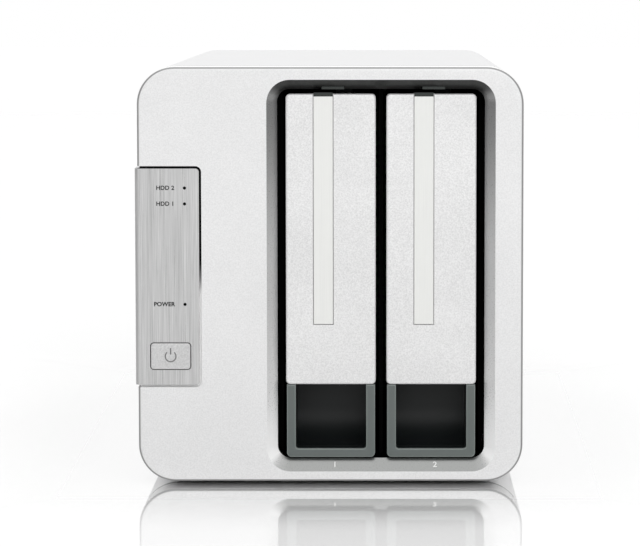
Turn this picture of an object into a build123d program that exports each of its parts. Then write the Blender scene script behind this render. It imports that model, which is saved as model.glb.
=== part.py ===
"""Two-bay desktop network attached storage box, built piece by piece.

The frame: +X is to the right seen from the front, the front faces -Y, +Z is up, and the
origin lies on the table under the middle of the box. All sizes are in millimetres.
"""

from build123d import *
import math
import os

os.makedirs("parts", exist_ok=True)

# ---------------------------------------------------------------- driving dimensions
# Enclosure
DEPTH = 227.0
PANEL_SIDE_ROOM = 45.7
RIGHT_MARGIN = 14.5
HEAD_MARGIN = 8.4
CORNER_RADIUS = 11.5
SHELL_WALL = 2.0
SEAM_GAP = 0.4
SLIP = 0.2

# Rubber feet
FOOT_HEIGHT = 1.2
FOOT_RADIUS = 7.0
FOOT_INSET_X = 17.5
FOOT_INSET_Y = 27.0

# Front bezel
BEZEL_DEPTH = 12.0
BEZEL_FRONT_WALL = 3.0
BEZEL_SIDE_WALL = 3.8
BEZEL_EDGE_RADIUS = 1.1
TONGUE_WALL = 1.6
TONGUE_LENGTH = 6.0
TONGUE_CUT_SPARE = 0.6
SURROUND_SIDE = 3.2
SURROUND_TOP = 2.9
SURROUND_BOTTOM = 3.8
SURROUND_DEPTH = 3.0
SURROUND_RADIUS = 7.2
OPENING_RADIUS = 4.0
TUNNEL_WALL = 1.4

# Drive trays in the bay opening
BAY_COUNT = 2
BAY_GAP = 3.3
TRAY_RISE = 7.3
TRAY_HEAD = 2.5
TRAY_SETBACK = 1.5
OPENING_SIDE_GAP = 2.65
OPENING_TOP_GAP = 1.5
OPENING_BOTTOM_GAP = 0.4

# Tray lever
LEVER_GAP = 0.1
LEVER_DEPTH = 6.0
LEVER_FACE = 2.2
LEVER_SKIRT = 1.5
LEVER_CORNER = 1.3
LEVER_EDGE = 0.7
PIVOT_DROP = 12.0
PIVOT_SETBACK = 5.0
PIN_RADIUS = 1.0
PIN_CLEARANCE = 0.1
PIN_SKIN = 0.4
LEVER_BOSS_WALL = 1.4
EAR_RADIUS = 2.4
EAR_WIDTH = 2.6
EAR_GAP = 0.4
EAR_DROP = 9.0

# Inlaid strip and catch tab on the lever
STRIP_WIDTH = 5.9
STRIP_OFFSET_X = -2.3
STRIP_LENGTH = 71.2
STRIP_THICKNESS = 1.1
STRIP_GROOVE = 0.25
STRIP_SINK = 0.1
CATCH_OVERLAP = 0.8
CATCH_RISE = 0.4
CATCH_SETBACK = 0.6
NOTCH_WIDTH = 7.2
NOTCH_OFFSET_X = 0.7
NOTCH_RISE = 0.9

# Finger grip at the foot of the tray
GRIP_HEIGHT = 22.7
GRIP_INSET = 0.2
GRIP_SIDE = 2.8
GRIP_FLOOR = 2.7
GRIP_OUTER_RADIUS = 1.4
GRIP_INNER_RADIUS = 0.8
SCOOP_DEPTH = 10.5
SCOOP_WALL = 1.5
SCOOP_OVERLAP = 4.5
SCOOP_RISE = 12.0
SCOOP_BEND = (0.68, 0.267)

# Tray frame
FRAME_INSET = 0.15
FRAME_GAP = 0.5
FRAME_FRONT = 2.5
FRAME_WEB = 1.0
FRAME_RAIL = 3.0
FRAME_TOP_RAIL = 5.0
FRAME_FLOOR_RISE = 0.7
FRAME_TAIL = 3.0
FRAME_WALL_RISE = 0.3
FRAME_WALL_DROP = 5.0
FRONT_TO_DISK = 11.0

# Hard disk
DISK_THICKNESS = 26.1
DISK_WIDTH = 101.6
DISK_LENGTH = 147.0
DISK_COVER = 1.0
DISK_BOARD = 1.6
DISK_BOARD_RECESS = 2.4
DISK_CORNER = 3.0
CHAMBER_DEPTH = 14.0
CHAMBER_SIZE = (104.0, 90.0)
CHAMBER_RADIUS = 30.0
CHAMBER_SETBACK = 6.0
COVER_INSET = 1.5
DISK_CLEARANCE = 0.175
DISK_HOLE_RISE = 6.35
DISK_HOLE_FROM_REAR = 28.5
DISK_HOLE_SPACING = 101.6

# Guide rails between cage and tray
GUIDE_WIDTH = 5.2
GUIDE_OFFSET_X = 4.0
GUIDE_ENTRY = 1.1
GUIDE_CLEARANCE = 0.4

# Cage of sheet steel
CAGE_SHEET = 1.2
CAGE_SIDE_GAP = 1.2
CAGE_TOP_GAP = 1.4
FLOOR_WINDOW_WIDTH = 11.0
LEFT_FLANGE = 13.0
RIGHT_FLANGE = 8.0

# Control strip at the left edge of the bezel
PANEL_WIDTH = 19.8
PANEL_HEIGHT = 67.0
PANEL_RISE = 30.2
PANEL_THICKNESS = 1.5
PANEL_PROUD = 0.8
PANEL_RETURN = 10.0
PANEL_GROOVE = 0.75
PANEL_CORNER = 1.1
BUTTON_WIDTH = 12.2
BUTTON_HEIGHT = 8.05
BUTTON_CORNER = 0.9
BUTTON_GAP = 0.25
BUTTON_PROUD = 0.5
BUTTON_FROM_RIGHT = 8.9
BUTTON_RISE = 8.9
BUTTON_FLANGE = 1.2
BUTTON_HOLE = (
    BUTTON_WIDTH + 2 * BUTTON_GAP,
    BUTTON_HEIGHT + 2 * BUTTON_GAP,
    BUTTON_CORNER + BUTTON_GAP,
)
LAMP_FROM_RIGHT = 4.4
LAMP_RISES = (25.0, 56.1, 61.0)
LAMP_RADIUS = 0.5
PIPE_RADIUS = 1.1
PIPE_CLEARANCE = 0.05

# Front circuit board
BOARD_THICKNESS = 1.6
FRONT_BOARD_WIDTH = 19.0
FRONT_BOARD_SETBACK = 10.5
SWITCH_SIZE = 6.0
SWITCH_DEPTH = 3.5
PLUNGER_RADIUS = 1.6
PLUNGER_LENGTH = 3.7
PLUNGER_PROUD = 2.0
LED_SIZE = 2.0
LED_DEPTH = 1.0

# Main circuit board and what stands on it
MAIN_BOARD_GAP = 12.35
MAIN_BOARD_AHEAD = 59.5
MAIN_BOARD_HEIGHT = 104.0
MAIN_BOARD_RISE = 9.0
HEATSINK_SIZE = 40.0
HEATSINK_BASE = 3.0
HEATSINK_FIN = 11.0
HEATSINK_FINS = 9
CHIP_HEIGHT = 1.5
ETHERNET_SIZE = (13.5, 21.0, 16.0)
USB_SIZE = (6.8, 17.0, 14.4)
JACK_SIZE = (11.0, 14.0, 9.0)
JACK_BORE_RADIUS = 2.85
JACK_BORE_DEPTH = 9.5
JACK_PIN_RADIUS = 1.0

# Rear panel and fan
PANEL_SHEET = 2.0
REAR_INSET = 1.5
FAN_SIZE = 80.0
FAN_DEPTH = 25.0
FAN_BORE = 38.5
FAN_HOLE_PITCH = 71.5
FAN_CENTRE_X = 16.5
FAN_FLANGE = 3.5
FAN_BLADES = 7
FAN_TIP_RADIUS = 37.3
HUB_RADIUS = 17.0
HUB_WALL = 1.8
GRILLE_RADIUS = 38.0
GRILLE_HOLE = 2.5
GRILLE_PITCH = 6.2
PORT_GAP = 0.3

# Fasteners
SCREW_RADIUS = 1.5
SCREW_HEAD_RADIUS = 2.8
SCREW_HEAD_HEIGHT = 1.6
SCREW_GAP = 0.15
BOSS_RADIUS = 3.2
SHELL_BOSS_RADIUS = 3.8
SHELL_BOSS_INSET = 3.2
BASE_SCREW_SINK = 1.4
BASE_HEAD_HEIGHT = 1.2
REAR_HEAD_HEIGHT = 1.4
SMALL_SCREW_RADIUS = 1.1
SMALL_HEAD_RADIUS = 2.2
SMALL_HEAD_HEIGHT = 1.3

# ---------------------------------------------------------------- sizes that follow from the disks
TRAY_WIDTH = DISK_THICKNESS + 2 * DISK_CLEARANCE + FRAME_WEB + 2 * FRAME_INSET
TRAY_HEIGHT = FRAME_FLOOR_RISE + FRAME_RAIL + DISK_WIDTH + FRAME_TOP_RAIL + TRAY_HEAD
BAY_PITCH = TRAY_WIDTH + BAY_GAP
BAYS_WIDTH = BAY_PITCH * (BAY_COUNT - 1) + TRAY_WIDTH
WIDTH = PANEL_SIDE_ROOM + BAYS_WIDTH + RIGHT_MARGIN
BODY_HEIGHT = TRAY_RISE + TRAY_HEIGHT + HEAD_MARGIN
BAYS_CENTRE_X = (PANEL_SIDE_ROOM - RIGHT_MARGIN) / 2
LEVER_HEIGHT = TRAY_HEIGHT - GRIP_HEIGHT - LEVER_GAP

# ---------------------------------------------------------------- places worked out
FRONT_Y = -DEPTH / 2
REAR_Y = DEPTH / 2
LEFT_X = -WIDTH / 2
BODY_BOTTOM = FOOT_HEIGHT
BODY_MID = BODY_BOTTOM + BODY_HEIGHT / 2
INNER_FLOOR = BODY_BOTTOM + SHELL_WALL

BEZEL_BACK = FRONT_Y + BEZEL_DEPTH
BEZEL_INNER = FRONT_Y + BEZEL_FRONT_WALL
SHELL_FRONT = BEZEL_BACK + SEAM_GAP
TONGUE_INSET = SHELL_WALL + SLIP
TONGUE_INNER = TONGUE_INSET + TONGUE_WALL

TRAY_BOTTOM = BODY_BOTTOM + TRAY_RISE
TRAY_TOP = TRAY_BOTTOM + TRAY_HEIGHT
TRAY_FACE = FRONT_Y + TRAY_SETBACK
OPENING_WIDTH = BAYS_WIDTH + 2 * OPENING_SIDE_GAP
OPENING_BOTTOM = TRAY_BOTTOM - OPENING_BOTTOM_GAP
OPENING_TOP = TRAY_TOP + OPENING_TOP_GAP
OPENING_HEIGHT = OPENING_TOP - OPENING_BOTTOM
OPENING_MID = (OPENING_BOTTOM + OPENING_TOP) / 2
SURROUND_MID = OPENING_MID + (SURROUND_TOP - SURROUND_BOTTOM) / 2

LEVER_BOTTOM = TRAY_TOP - LEVER_HEIGHT
LEVER_BACK = TRAY_FACE + LEVER_DEPTH
STRIP_BED = TRAY_FACE + STRIP_THICKNESS + STRIP_SINK
PIVOT_Y = TRAY_FACE + PIVOT_SETBACK
PIVOT_Z = TRAY_TOP - PIVOT_DROP
FRAME_WALL_TOP = PIVOT_Z - FRAME_WALL_DROP

FRAME_WIDTH = TRAY_WIDTH - 2 * FRAME_INSET
FRAME_FACE = LEVER_BACK + FRAME_GAP
FRAME_BOTTOM = TRAY_BOTTOM + FRAME_FLOOR_RISE
DISK_FRONT = FRAME_FACE + FRAME_FRONT + FRONT_TO_DISK
DISK_REAR = DISK_FRONT + DISK_LENGTH
DISK_BOTTOM = FRAME_BOTTOM + FRAME_RAIL
DISK_TOP = DISK_BOTTOM + DISK_WIDTH
FRAME_TOP = DISK_TOP + FRAME_TOP_RAIL
FRAME_REAR = DISK_REAR + FRAME_TAIL

CAGE_FRONT = BEZEL_BACK + 0.1
CAGE_BOTTOM = INNER_FLOOR + CAGE_SHEET
CAGE_TOP = TRAY_TOP + OPENING_TOP_GAP + CAGE_TOP_GAP
CAGE_LEFT = BAYS_CENTRE_X - (BAYS_WIDTH - TRAY_WIDTH + FRAME_WIDTH) / 2 - CAGE_SIDE_GAP
CAGE_RIGHT = 2 * BAYS_CENTRE_X - CAGE_LEFT
BACKPLANE_Y = DISK_REAR + 7.0

PANEL_LEFT = LEFT_X - PANEL_PROUD
PANEL_RIGHT = PANEL_LEFT + PANEL_WIDTH
PANEL_BOTTOM = BODY_BOTTOM + PANEL_RISE
PANEL_TOP = PANEL_BOTTOM + PANEL_HEIGHT
BUTTON_X = PANEL_RIGHT - BUTTON_FROM_RIGHT
BUTTON_Z = PANEL_BOTTOM + BUTTON_RISE
LAMP_X = PANEL_RIGHT - LAMP_FROM_RIGHT
FRONT_BOARD_Y = FRONT_Y + FRONT_BOARD_SETBACK
FRONT_BOARD_LEFT = LEFT_X + BEZEL_SIDE_WALL + 0.8
FRONT_BOARD_RIGHT = FRONT_BOARD_LEFT + FRONT_BOARD_WIDTH
FRONT_SCREW_X = FRONT_BOARD_RIGHT - 3.0

MAIN_BOARD_X = CAGE_LEFT - CAGE_SHEET - MAIN_BOARD_GAP
MAIN_BOARD_FACE = MAIN_BOARD_X - BOARD_THICKNESS
PANEL_BACK = REAR_Y - REAR_INSET
PANEL_FRONT = PANEL_BACK - PANEL_SHEET
MAIN_BOARD_REAR = PANEL_FRONT - 1.5
MAIN_BOARD_FRONT = BACKPLANE_Y - MAIN_BOARD_AHEAD
MAIN_BOARD_BOTTOM = BODY_BOTTOM + MAIN_BOARD_RISE
MAIN_BOARD_TOP = MAIN_BOARD_BOTTOM + MAIN_BOARD_HEIGHT
FAN_FRONT = PANEL_FRONT - FAN_DEPTH
HEADER_DEPTH = 6.0
PLUG_LENGTH = 6.0


# ---------------------------------------------------------------- small helpers
def facing_front(x, y, z):
    """Plane at (x, y, z) with local x along +X, local y along +Z and its normal to the front."""
    return Plane(origin=(x, y, z), x_dir=(1, 0, 0), z_dir=(0, -1, 0))


def facing_right(x, y, z):
    """Plane at (x, y, z) with local x along +Y, local y along +Z and its normal to the right."""
    return Plane(origin=(x, y, z), x_dir=(0, 1, 0), z_dir=(1, 0, 0))


def block(x, y, z, mode=Mode.ADD):
    """Add a box that fills the three pairs of limits, or cut it away."""
    with Locations(((x[0] + x[1]) / 2, (y[0] + y[1]) / 2, (z[0] + z[1]) / 2)):
        Box(x[1] - x[0], y[1] - y[0], z[1] - z[0], mode=mode)


def rod_along_y(x, z, radius, y, mode=Mode.ADD):
    """Add a round rod between the two y limits, or drill it."""
    with Locations(Location((x, (y[0] + y[1]) / 2, z), (90, 0, 0))):
        Cylinder(radius, y[1] - y[0], mode=mode)


def rod_along_z(x, y, radius, z, mode=Mode.ADD):
    """Add an upright rod between the two z limits, or drill it."""
    with Locations((x, y, (z[0] + z[1]) / 2)):
        Cylinder(radius, z[1] - z[0], mode=mode)


def rod_along_x(y, z, radius, x, mode=Mode.ADD):
    """Add a cross rod between the two x limits, or drill it."""
    with Locations(Location(((x[0] + x[1]) / 2, y, z), (0, 90, 0))):
        Cylinder(radius, x[1] - x[0], mode=mode)


def save(piece, name):
    """Label a finished piece and write its STEP file."""
    piece.part.label = name
    export_step(piece.part, f"parts/{name}.step")


def arc_radii(points):
    """Largest tangent arc that each corner of a cable's route has room for."""
    radii = []
    for before, corner, after in zip(points, points[1:], points[2:]):
        run_in = Vector(*corner) - Vector(*before)
        run_out = Vector(*after) - Vector(*corner)
        turn = math.radians(run_in.get_angle(run_out))
        radii.append(0.45 * min(run_in.length, run_out.length) / math.tan(turn / 2))
    return radii


def tray_x(bay):
    """Middle of a bay, counted from 1 at the left."""
    return BAYS_CENTRE_X + (bay - (BAY_COUNT + 1) / 2) * BAY_PITCH


def guide_limits(bay, spare=0.0):
    """Sides of the guide rail of one bay, widened by the spare room on each side."""
    middle = tray_x(bay) + GUIDE_OFFSET_X
    return (middle - GUIDE_WIDTH / 2 - spare, middle + GUIDE_WIDTH / 2 + spare)


BAYS = range(1, BAY_COUNT + 1)

# ---------------------------------------------------------------- outer shell
boss_reach = (CORNER_RADIUS - SHELL_WALL - SHELL_BOSS_INSET) * math.sin(math.pi / 4)
shell_boss_x = WIDTH / 2 - CORNER_RADIUS + boss_reach
shell_boss_z = BODY_HEIGHT / 2 - CORNER_RADIUS + boss_reach
REAR_SCREW_PLACES = [(sx * shell_boss_x, BODY_MID + sz * shell_boss_z) for sx in (-1, 1) for sz in (-1, 1)]
CAGE_SCREW_X = (CAGE_LEFT + 5.0, CAGE_RIGHT - 5.0)
CAGE_SCREW_Y = (CAGE_FRONT + 36.4, BACKPLANE_Y - 22.0)
CAGE_SCREW_PLACES = [(x, y) for x in CAGE_SCREW_X for y in CAGE_SCREW_Y]
VENT_LENGTH = 26.0
VENT_WIDTH = 3.0
VENT_PITCH = 7.0
VENT_COLUMNS = 7
VENT_ROW_PITCH = 50.0
VENT_MID_Y = sum(CAGE_SCREW_Y) / 2
VENT_ROWS_Y = (VENT_MID_Y - VENT_ROW_PITCH / 2, VENT_MID_Y + VENT_ROW_PITCH / 2)

with BuildPart() as outer_shell:
    with BuildSketch(facing_front(0, SHELL_FRONT, BODY_MID)):
        RectangleRounded(WIDTH, BODY_HEIGHT, CORNER_RADIUS)
        RectangleRounded(
            WIDTH - 2 * SHELL_WALL,
            BODY_HEIGHT - 2 * SHELL_WALL,
            CORNER_RADIUS - SHELL_WALL,
            mode=Mode.SUBTRACT,
        )
    extrude(amount=SHELL_FRONT - REAR_Y)
    chamfer(outer_shell.faces().sort_by(Axis.Y)[-1].outer_wire().edges(), 0.5)
    for boss_x, boss_z in REAR_SCREW_PLACES:
        rod_along_y(boss_x, boss_z, SHELL_BOSS_RADIUS, (PANEL_FRONT - 12.0, PANEL_FRONT))
    thread = (PANEL_FRONT - 10.0, PANEL_FRONT)
    for boss_x, boss_z in REAR_SCREW_PLACES:
        rod_along_y(boss_x, boss_z, SCREW_RADIUS + SCREW_GAP, thread, Mode.SUBTRACT)
    for screw_x, screw_y in CAGE_SCREW_PLACES:
        rod_along_z(screw_x, screw_y, SCREW_RADIUS + SCREW_GAP, (BODY_BOTTOM, INNER_FLOOR), Mode.SUBTRACT)
        sink = (BODY_BOTTOM, BODY_BOTTOM + BASE_SCREW_SINK)
        rod_along_z(screw_x, screw_y, SCREW_HEAD_RADIUS + SCREW_GAP, sink, Mode.SUBTRACT)
    with BuildSketch(Plane.XY.offset(BODY_BOTTOM)):
        for row_y in VENT_ROWS_Y:
            with Locations((BAYS_CENTRE_X, row_y)):
                with GridLocations(VENT_PITCH, 1, VENT_COLUMNS, 1):
                    SlotOverall(VENT_LENGTH, VENT_WIDTH, rotation=90)
    extrude(amount=SHELL_WALL, mode=Mode.SUBTRACT)
save(outer_shell, "outer_shell")

with BuildPart() as rubber_feet:
    with BuildSketch(Plane.XY):
        with GridLocations(WIDTH - 2 * FOOT_INSET_X, DEPTH - 2 * FOOT_INSET_Y, 2, 2):
            Circle(FOOT_RADIUS)
    extrude(amount=FOOT_HEIGHT)
    fillet(rubber_feet.faces().group_by(Axis.Z)[0].edges(), 0.8)
save(rubber_feet, "rubber_feet")

with BuildPart() as cage_screws:
    for screw_x, screw_y in CAGE_SCREW_PLACES:
        seat = BODY_BOTTOM + BASE_SCREW_SINK
        rod_along_z(screw_x, screw_y, SCREW_HEAD_RADIUS, (seat - BASE_HEAD_HEIGHT, seat))
        rod_along_z(screw_x, screw_y, SCREW_RADIUS, (seat, CAGE_BOTTOM + 2.0))
save(cage_screws, "cage_screws")

# ---------------------------------------------------------------- front bezel
PANEL_POCKET_RIGHT = PANEL_RIGHT + PANEL_GROOVE
BEZEL_SCREW_PLACES = [
    (CAGE_LEFT - CAGE_SHEET - LEFT_FLANGE / 2, OPENING_BOTTOM + 8.0),
    (CAGE_LEFT - CAGE_SHEET - LEFT_FLANGE / 2, OPENING_TOP - 8.0),
    (CAGE_RIGHT + CAGE_SHEET + RIGHT_FLANGE / 2, OPENING_BOTTOM + 12.0),
    (CAGE_RIGHT + CAGE_SHEET + RIGHT_FLANGE / 2, OPENING_TOP - 12.0),
]
FRONT_SCREW_HEIGHTS = (PANEL_BOTTOM + 18.0, PANEL_TOP - 16.0)
RETURN_INNER = PANEL_LEFT + PANEL_THICKNESS

with BuildPart() as front_bezel:
    with BuildSketch(facing_front(0, FRONT_Y, BODY_MID)):
        RectangleRounded(WIDTH, BODY_HEIGHT, CORNER_RADIUS)
    extrude(amount=-BEZEL_DEPTH)
    fillet(front_bezel.faces().sort_by(Axis.Y)[0].edges(), BEZEL_EDGE_RADIUS)
    chamfer(front_bezel.faces().sort_by(Axis.Y)[-1].edges(), 0.3)
    with BuildSketch(facing_front(0, BEZEL_BACK, BODY_MID)):
        RectangleRounded(
            WIDTH - 2 * TONGUE_INSET,
            BODY_HEIGHT - 2 * TONGUE_INSET,
            CORNER_RADIUS - TONGUE_INSET,
        )
    extrude(amount=-TONGUE_LENGTH)
    for inset, start, end in (
        (BEZEL_SIDE_WALL, BEZEL_INNER, BEZEL_BACK),
        (TONGUE_INNER, BEZEL_BACK, BEZEL_BACK + TONGUE_LENGTH),
    ):
        with BuildSketch(facing_front(0, start, BODY_MID)):
            RectangleRounded(WIDTH - 2 * inset, BODY_HEIGHT - 2 * inset, CORNER_RADIUS - inset)
        extrude(amount=start - end, mode=Mode.SUBTRACT)
    block(
        (CAGE_LEFT - CAGE_SHEET - TONGUE_CUT_SPARE, CAGE_RIGHT + CAGE_SHEET + TONGUE_CUT_SPARE),
        (BEZEL_BACK, BEZEL_BACK + TONGUE_LENGTH),
        (BODY_BOTTOM, BODY_BOTTOM + TONGUE_INNER + TONGUE_CUT_SPARE),
        Mode.SUBTRACT,
    )
    with BuildSketch(facing_front(BAYS_CENTRE_X, BEZEL_INNER, OPENING_MID)):
        RectangleRounded(
            OPENING_WIDTH + 2 * TUNNEL_WALL,
            OPENING_HEIGHT + 2 * TUNNEL_WALL,
            OPENING_RADIUS + TUNNEL_WALL,
        )
    extrude(amount=BEZEL_INNER - BEZEL_BACK)
    for boss_x, boss_z in BEZEL_SCREW_PLACES:
        rod_along_y(boss_x, boss_z, BOSS_RADIUS, (BEZEL_INNER, BEZEL_BACK))
        rod_along_y(boss_x, boss_z, SCREW_RADIUS + SCREW_GAP, (BEZEL_BACK - 7.5, BEZEL_BACK), Mode.SUBTRACT)
    for boss_z in FRONT_SCREW_HEIGHTS:
        rod_along_y(FRONT_SCREW_X, boss_z, BOSS_RADIUS - 0.6, (BEZEL_INNER, FRONT_BOARD_Y))
        thread = (FRONT_BOARD_Y - 6.0, FRONT_BOARD_Y)
        rod_along_y(FRONT_SCREW_X, boss_z, SMALL_SCREW_RADIUS + SCREW_GAP, thread, Mode.SUBTRACT)
    with BuildSketch(facing_front(BAYS_CENTRE_X, FRONT_Y, OPENING_MID)):
        RectangleRounded(OPENING_WIDTH, OPENING_HEIGHT, OPENING_RADIUS)
    extrude(amount=FRONT_Y - BEZEL_BACK, mode=Mode.SUBTRACT)
    with BuildSketch(facing_front(BAYS_CENTRE_X, FRONT_Y, SURROUND_MID)):
        RectangleRounded(
            OPENING_WIDTH + 2 * SURROUND_SIDE,
            OPENING_HEIGHT + SURROUND_TOP + SURROUND_BOTTOM,
            SURROUND_RADIUS,
        )
    with BuildSketch(facing_front(BAYS_CENTRE_X, FRONT_Y + SURROUND_DEPTH, OPENING_MID)):
        RectangleRounded(OPENING_WIDTH, OPENING_HEIGHT, OPENING_RADIUS)
    loft(mode=Mode.SUBTRACT)
    for bay in BAYS:
        notch_x = tray_x(bay) + NOTCH_OFFSET_X
        block(
            (notch_x - NOTCH_WIDTH / 2, notch_x + NOTCH_WIDTH / 2),
            (FRONT_Y + 1.0, BEZEL_BACK - 1.0),
            (OPENING_TOP - 0.5, OPENING_TOP + NOTCH_RISE),
            Mode.SUBTRACT,
        )
    with BuildSketch(facing_front(PANEL_POCKET_RIGHT, FRONT_Y, (PANEL_BOTTOM + PANEL_TOP) / 2)):
        Rectangle(
            2 * (PANEL_POCKET_RIGHT - LEFT_X),
            PANEL_HEIGHT + 2 * PANEL_GROOVE,
        )
        Rectangle(
            2 * (PANEL_POCKET_RIGHT - LEFT_X),
            PANEL_HEIGHT + 4 * PANEL_GROOVE,
            align=(Align.MIN, Align.CENTER),
            mode=Mode.SUBTRACT,
        )
    extrude(amount=-PANEL_THICKNESS, mode=Mode.SUBTRACT)
    pocket_corners = front_bezel.edges().filter_by(Axis.Y)
    pocket_corners = pocket_corners.filter_by_position(
        Axis.X, PANEL_POCKET_RIGHT - 0.01, PANEL_POCKET_RIGHT + 0.01
    )
    fillet(pocket_corners, PANEL_CORNER + PANEL_GROOVE)
    block(
        (LEFT_X, RETURN_INNER),
        (FRONT_Y, FRONT_Y + PANEL_RETURN + PANEL_GROOVE),
        (PANEL_BOTTOM - PANEL_GROOVE, PANEL_TOP + PANEL_GROOVE),
        Mode.SUBTRACT,
    )
    with BuildSketch(facing_front(BUTTON_X, FRONT_Y, BUTTON_Z)):
        RectangleRounded(*BUTTON_HOLE)
    extrude(amount=-BEZEL_FRONT_WALL, mode=Mode.SUBTRACT)
    for rise in LAMP_RISES:
        rod_along_y(LAMP_X, PANEL_BOTTOM + rise, LAMP_RADIUS, (FRONT_Y, BEZEL_INNER), Mode.SUBTRACT)
save(front_bezel, "front_bezel")

with BuildPart() as bezel_screws:
    for boss_x, boss_z in BEZEL_SCREW_PLACES:
        head_front = CAGE_FRONT + CAGE_SHEET
        rod_along_y(boss_x, boss_z, SCREW_RADIUS, (BEZEL_BACK - 6.5, head_front))
        rod_along_y(boss_x, boss_z, SCREW_HEAD_RADIUS, (head_front, head_front + SCREW_HEAD_HEIGHT))
save(bezel_screws, "bezel_screws")

# ---------------------------------------------------------------- control strip and power button
with BuildPart() as control_strip:
    with BuildSketch(facing_front((PANEL_LEFT + PANEL_RIGHT) / 2, FRONT_Y, (PANEL_BOTTOM + PANEL_TOP) / 2)):
        Rectangle(PANEL_WIDTH, PANEL_HEIGHT)
    extrude(amount=-PANEL_THICKNESS)
    block(
        (PANEL_LEFT, RETURN_INNER),
        (FRONT_Y, FRONT_Y + PANEL_RETURN),
        (PANEL_BOTTOM, PANEL_TOP),
    )
    outer_corner = control_strip.edges().filter_by(Axis.Z).sort_by(Axis.X)
    fillet(outer_corner.filter_by_position(Axis.Y, FRONT_Y - 0.01, FRONT_Y + 0.01)[0], PANEL_THICKNESS)
    right_corners = control_strip.edges().filter_by(Axis.Y)
    fillet(
        right_corners.filter_by_position(Axis.X, PANEL_RIGHT - 0.01, PANEL_RIGHT + 0.01),
        PANEL_CORNER,
    )
    with BuildSketch(facing_front(BUTTON_X, FRONT_Y, BUTTON_Z)):
        RectangleRounded(*BUTTON_HOLE)
    extrude(amount=-PANEL_THICKNESS, mode=Mode.SUBTRACT)
    for rise in LAMP_RISES:
        rod_along_y(
            LAMP_X, PANEL_BOTTOM + rise, LAMP_RADIUS, (FRONT_Y, FRONT_Y + PANEL_THICKNESS), Mode.SUBTRACT
        )
save(control_strip, "control_strip")

STEM_RADIUS = 2.0
FLANGE_FRONT = BEZEL_INNER + 0.1
PLUNGER_TIP = FRONT_BOARD_Y - SWITCH_DEPTH - PLUNGER_PROUD

with BuildPart() as power_button:
    with BuildSketch(facing_front(BUTTON_X, FRONT_Y - BUTTON_PROUD, BUTTON_Z)):
        RectangleRounded(BUTTON_WIDTH, BUTTON_HEIGHT, BUTTON_CORNER)
    extrude(amount=-(FLANGE_FRONT - FRONT_Y + BUTTON_PROUD))
    fillet(power_button.faces().sort_by(Axis.Y)[0].edges(), 0.35)
    block(
        (BUTTON_X - BUTTON_WIDTH / 2, BUTTON_X + BUTTON_WIDTH / 2 + BUTTON_FLANGE),
        (FLANGE_FRONT, FLANGE_FRONT + 1.0),
        (BUTTON_Z - BUTTON_HEIGHT / 2 - BUTTON_FLANGE, BUTTON_Z + BUTTON_HEIGHT / 2 + BUTTON_FLANGE),
    )
    rod_along_y(BUTTON_X, BUTTON_Z, STEM_RADIUS, (FLANGE_FRONT + 1.0, PLUNGER_TIP))
save(power_button, "power_button")

with BuildPart() as switch_plunger:
    rod_along_y(BUTTON_X, BUTTON_Z, PLUNGER_RADIUS, (PLUNGER_TIP, PLUNGER_TIP + PLUNGER_LENGTH))
save(switch_plunger, "switch_plunger")

with BuildPart() as power_switch:
    block(
        (BUTTON_X - SWITCH_SIZE / 2, BUTTON_X + SWITCH_SIZE / 2),
        (FRONT_BOARD_Y - SWITCH_DEPTH, FRONT_BOARD_Y),
        (BUTTON_Z - SWITCH_SIZE / 2, BUTTON_Z + SWITCH_SIZE / 2),
    )
    rod_along_y(
        BUTTON_X,
        BUTTON_Z,
        PLUNGER_RADIUS + 0.3,
        (FRONT_BOARD_Y - SWITCH_DEPTH, FRONT_BOARD_Y - 0.4),
        Mode.SUBTRACT,
    )
save(power_switch, "power_switch")

with BuildPart() as light_pipes:
    for rise in LAMP_RISES:
        rod_along_y(LAMP_X, PANEL_BOTTOM + rise, LAMP_RADIUS - PIPE_CLEARANCE, (FRONT_Y + 0.2, BEZEL_INNER))
        rod_along_y(LAMP_X, PANEL_BOTTOM + rise, PIPE_RADIUS, (BEZEL_INNER, FRONT_BOARD_Y - LED_DEPTH))
save(light_pipes, "light_pipes")

with BuildPart() as indicator_leds:
    for rise in LAMP_RISES:
        block(
            (LAMP_X - LED_SIZE / 2, LAMP_X + LED_SIZE / 2),
            (FRONT_BOARD_Y - LED_DEPTH, FRONT_BOARD_Y),
            (PANEL_BOTTOM + rise - LED_SIZE / 2, PANEL_BOTTOM + rise + LED_SIZE / 2),
        )
save(indicator_leds, "indicator_leds")

with BuildPart() as front_board:
    block(
        (FRONT_BOARD_LEFT, FRONT_BOARD_RIGHT),
        (FRONT_BOARD_Y, FRONT_BOARD_Y + BOARD_THICKNESS),
        (PANEL_BOTTOM + 1.0, PANEL_TOP - 1.0),
    )
    for boss_z in FRONT_SCREW_HEIGHTS:
        through = (FRONT_BOARD_Y, FRONT_BOARD_Y + BOARD_THICKNESS)
        rod_along_y(FRONT_SCREW_X, boss_z, SMALL_SCREW_RADIUS + SCREW_GAP, through, Mode.SUBTRACT)
save(front_board, "front_board")

with BuildPart() as front_board_screws:
    for boss_z in FRONT_SCREW_HEIGHTS:
        head_front = FRONT_BOARD_Y + BOARD_THICKNESS
        rod_along_y(FRONT_SCREW_X, boss_z, SMALL_SCREW_RADIUS, (FRONT_BOARD_Y - 5.0, head_front))
        rod_along_y(FRONT_SCREW_X, boss_z, SMALL_HEAD_RADIUS, (head_front, head_front + SMALL_HEAD_HEIGHT))
save(front_board_screws, "front_board_screws")

# ---------------------------------------------------------------- steel cage round the bays
WINDOW_HEIGHT = 64.0
WINDOW_LENGTH = 36.0
WINDOW_MID_Y = (CAGE_FRONT + BACKPLANE_Y) / 2
CAGE_MID_Z = (CAGE_BOTTOM + CAGE_TOP) / 2


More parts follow.
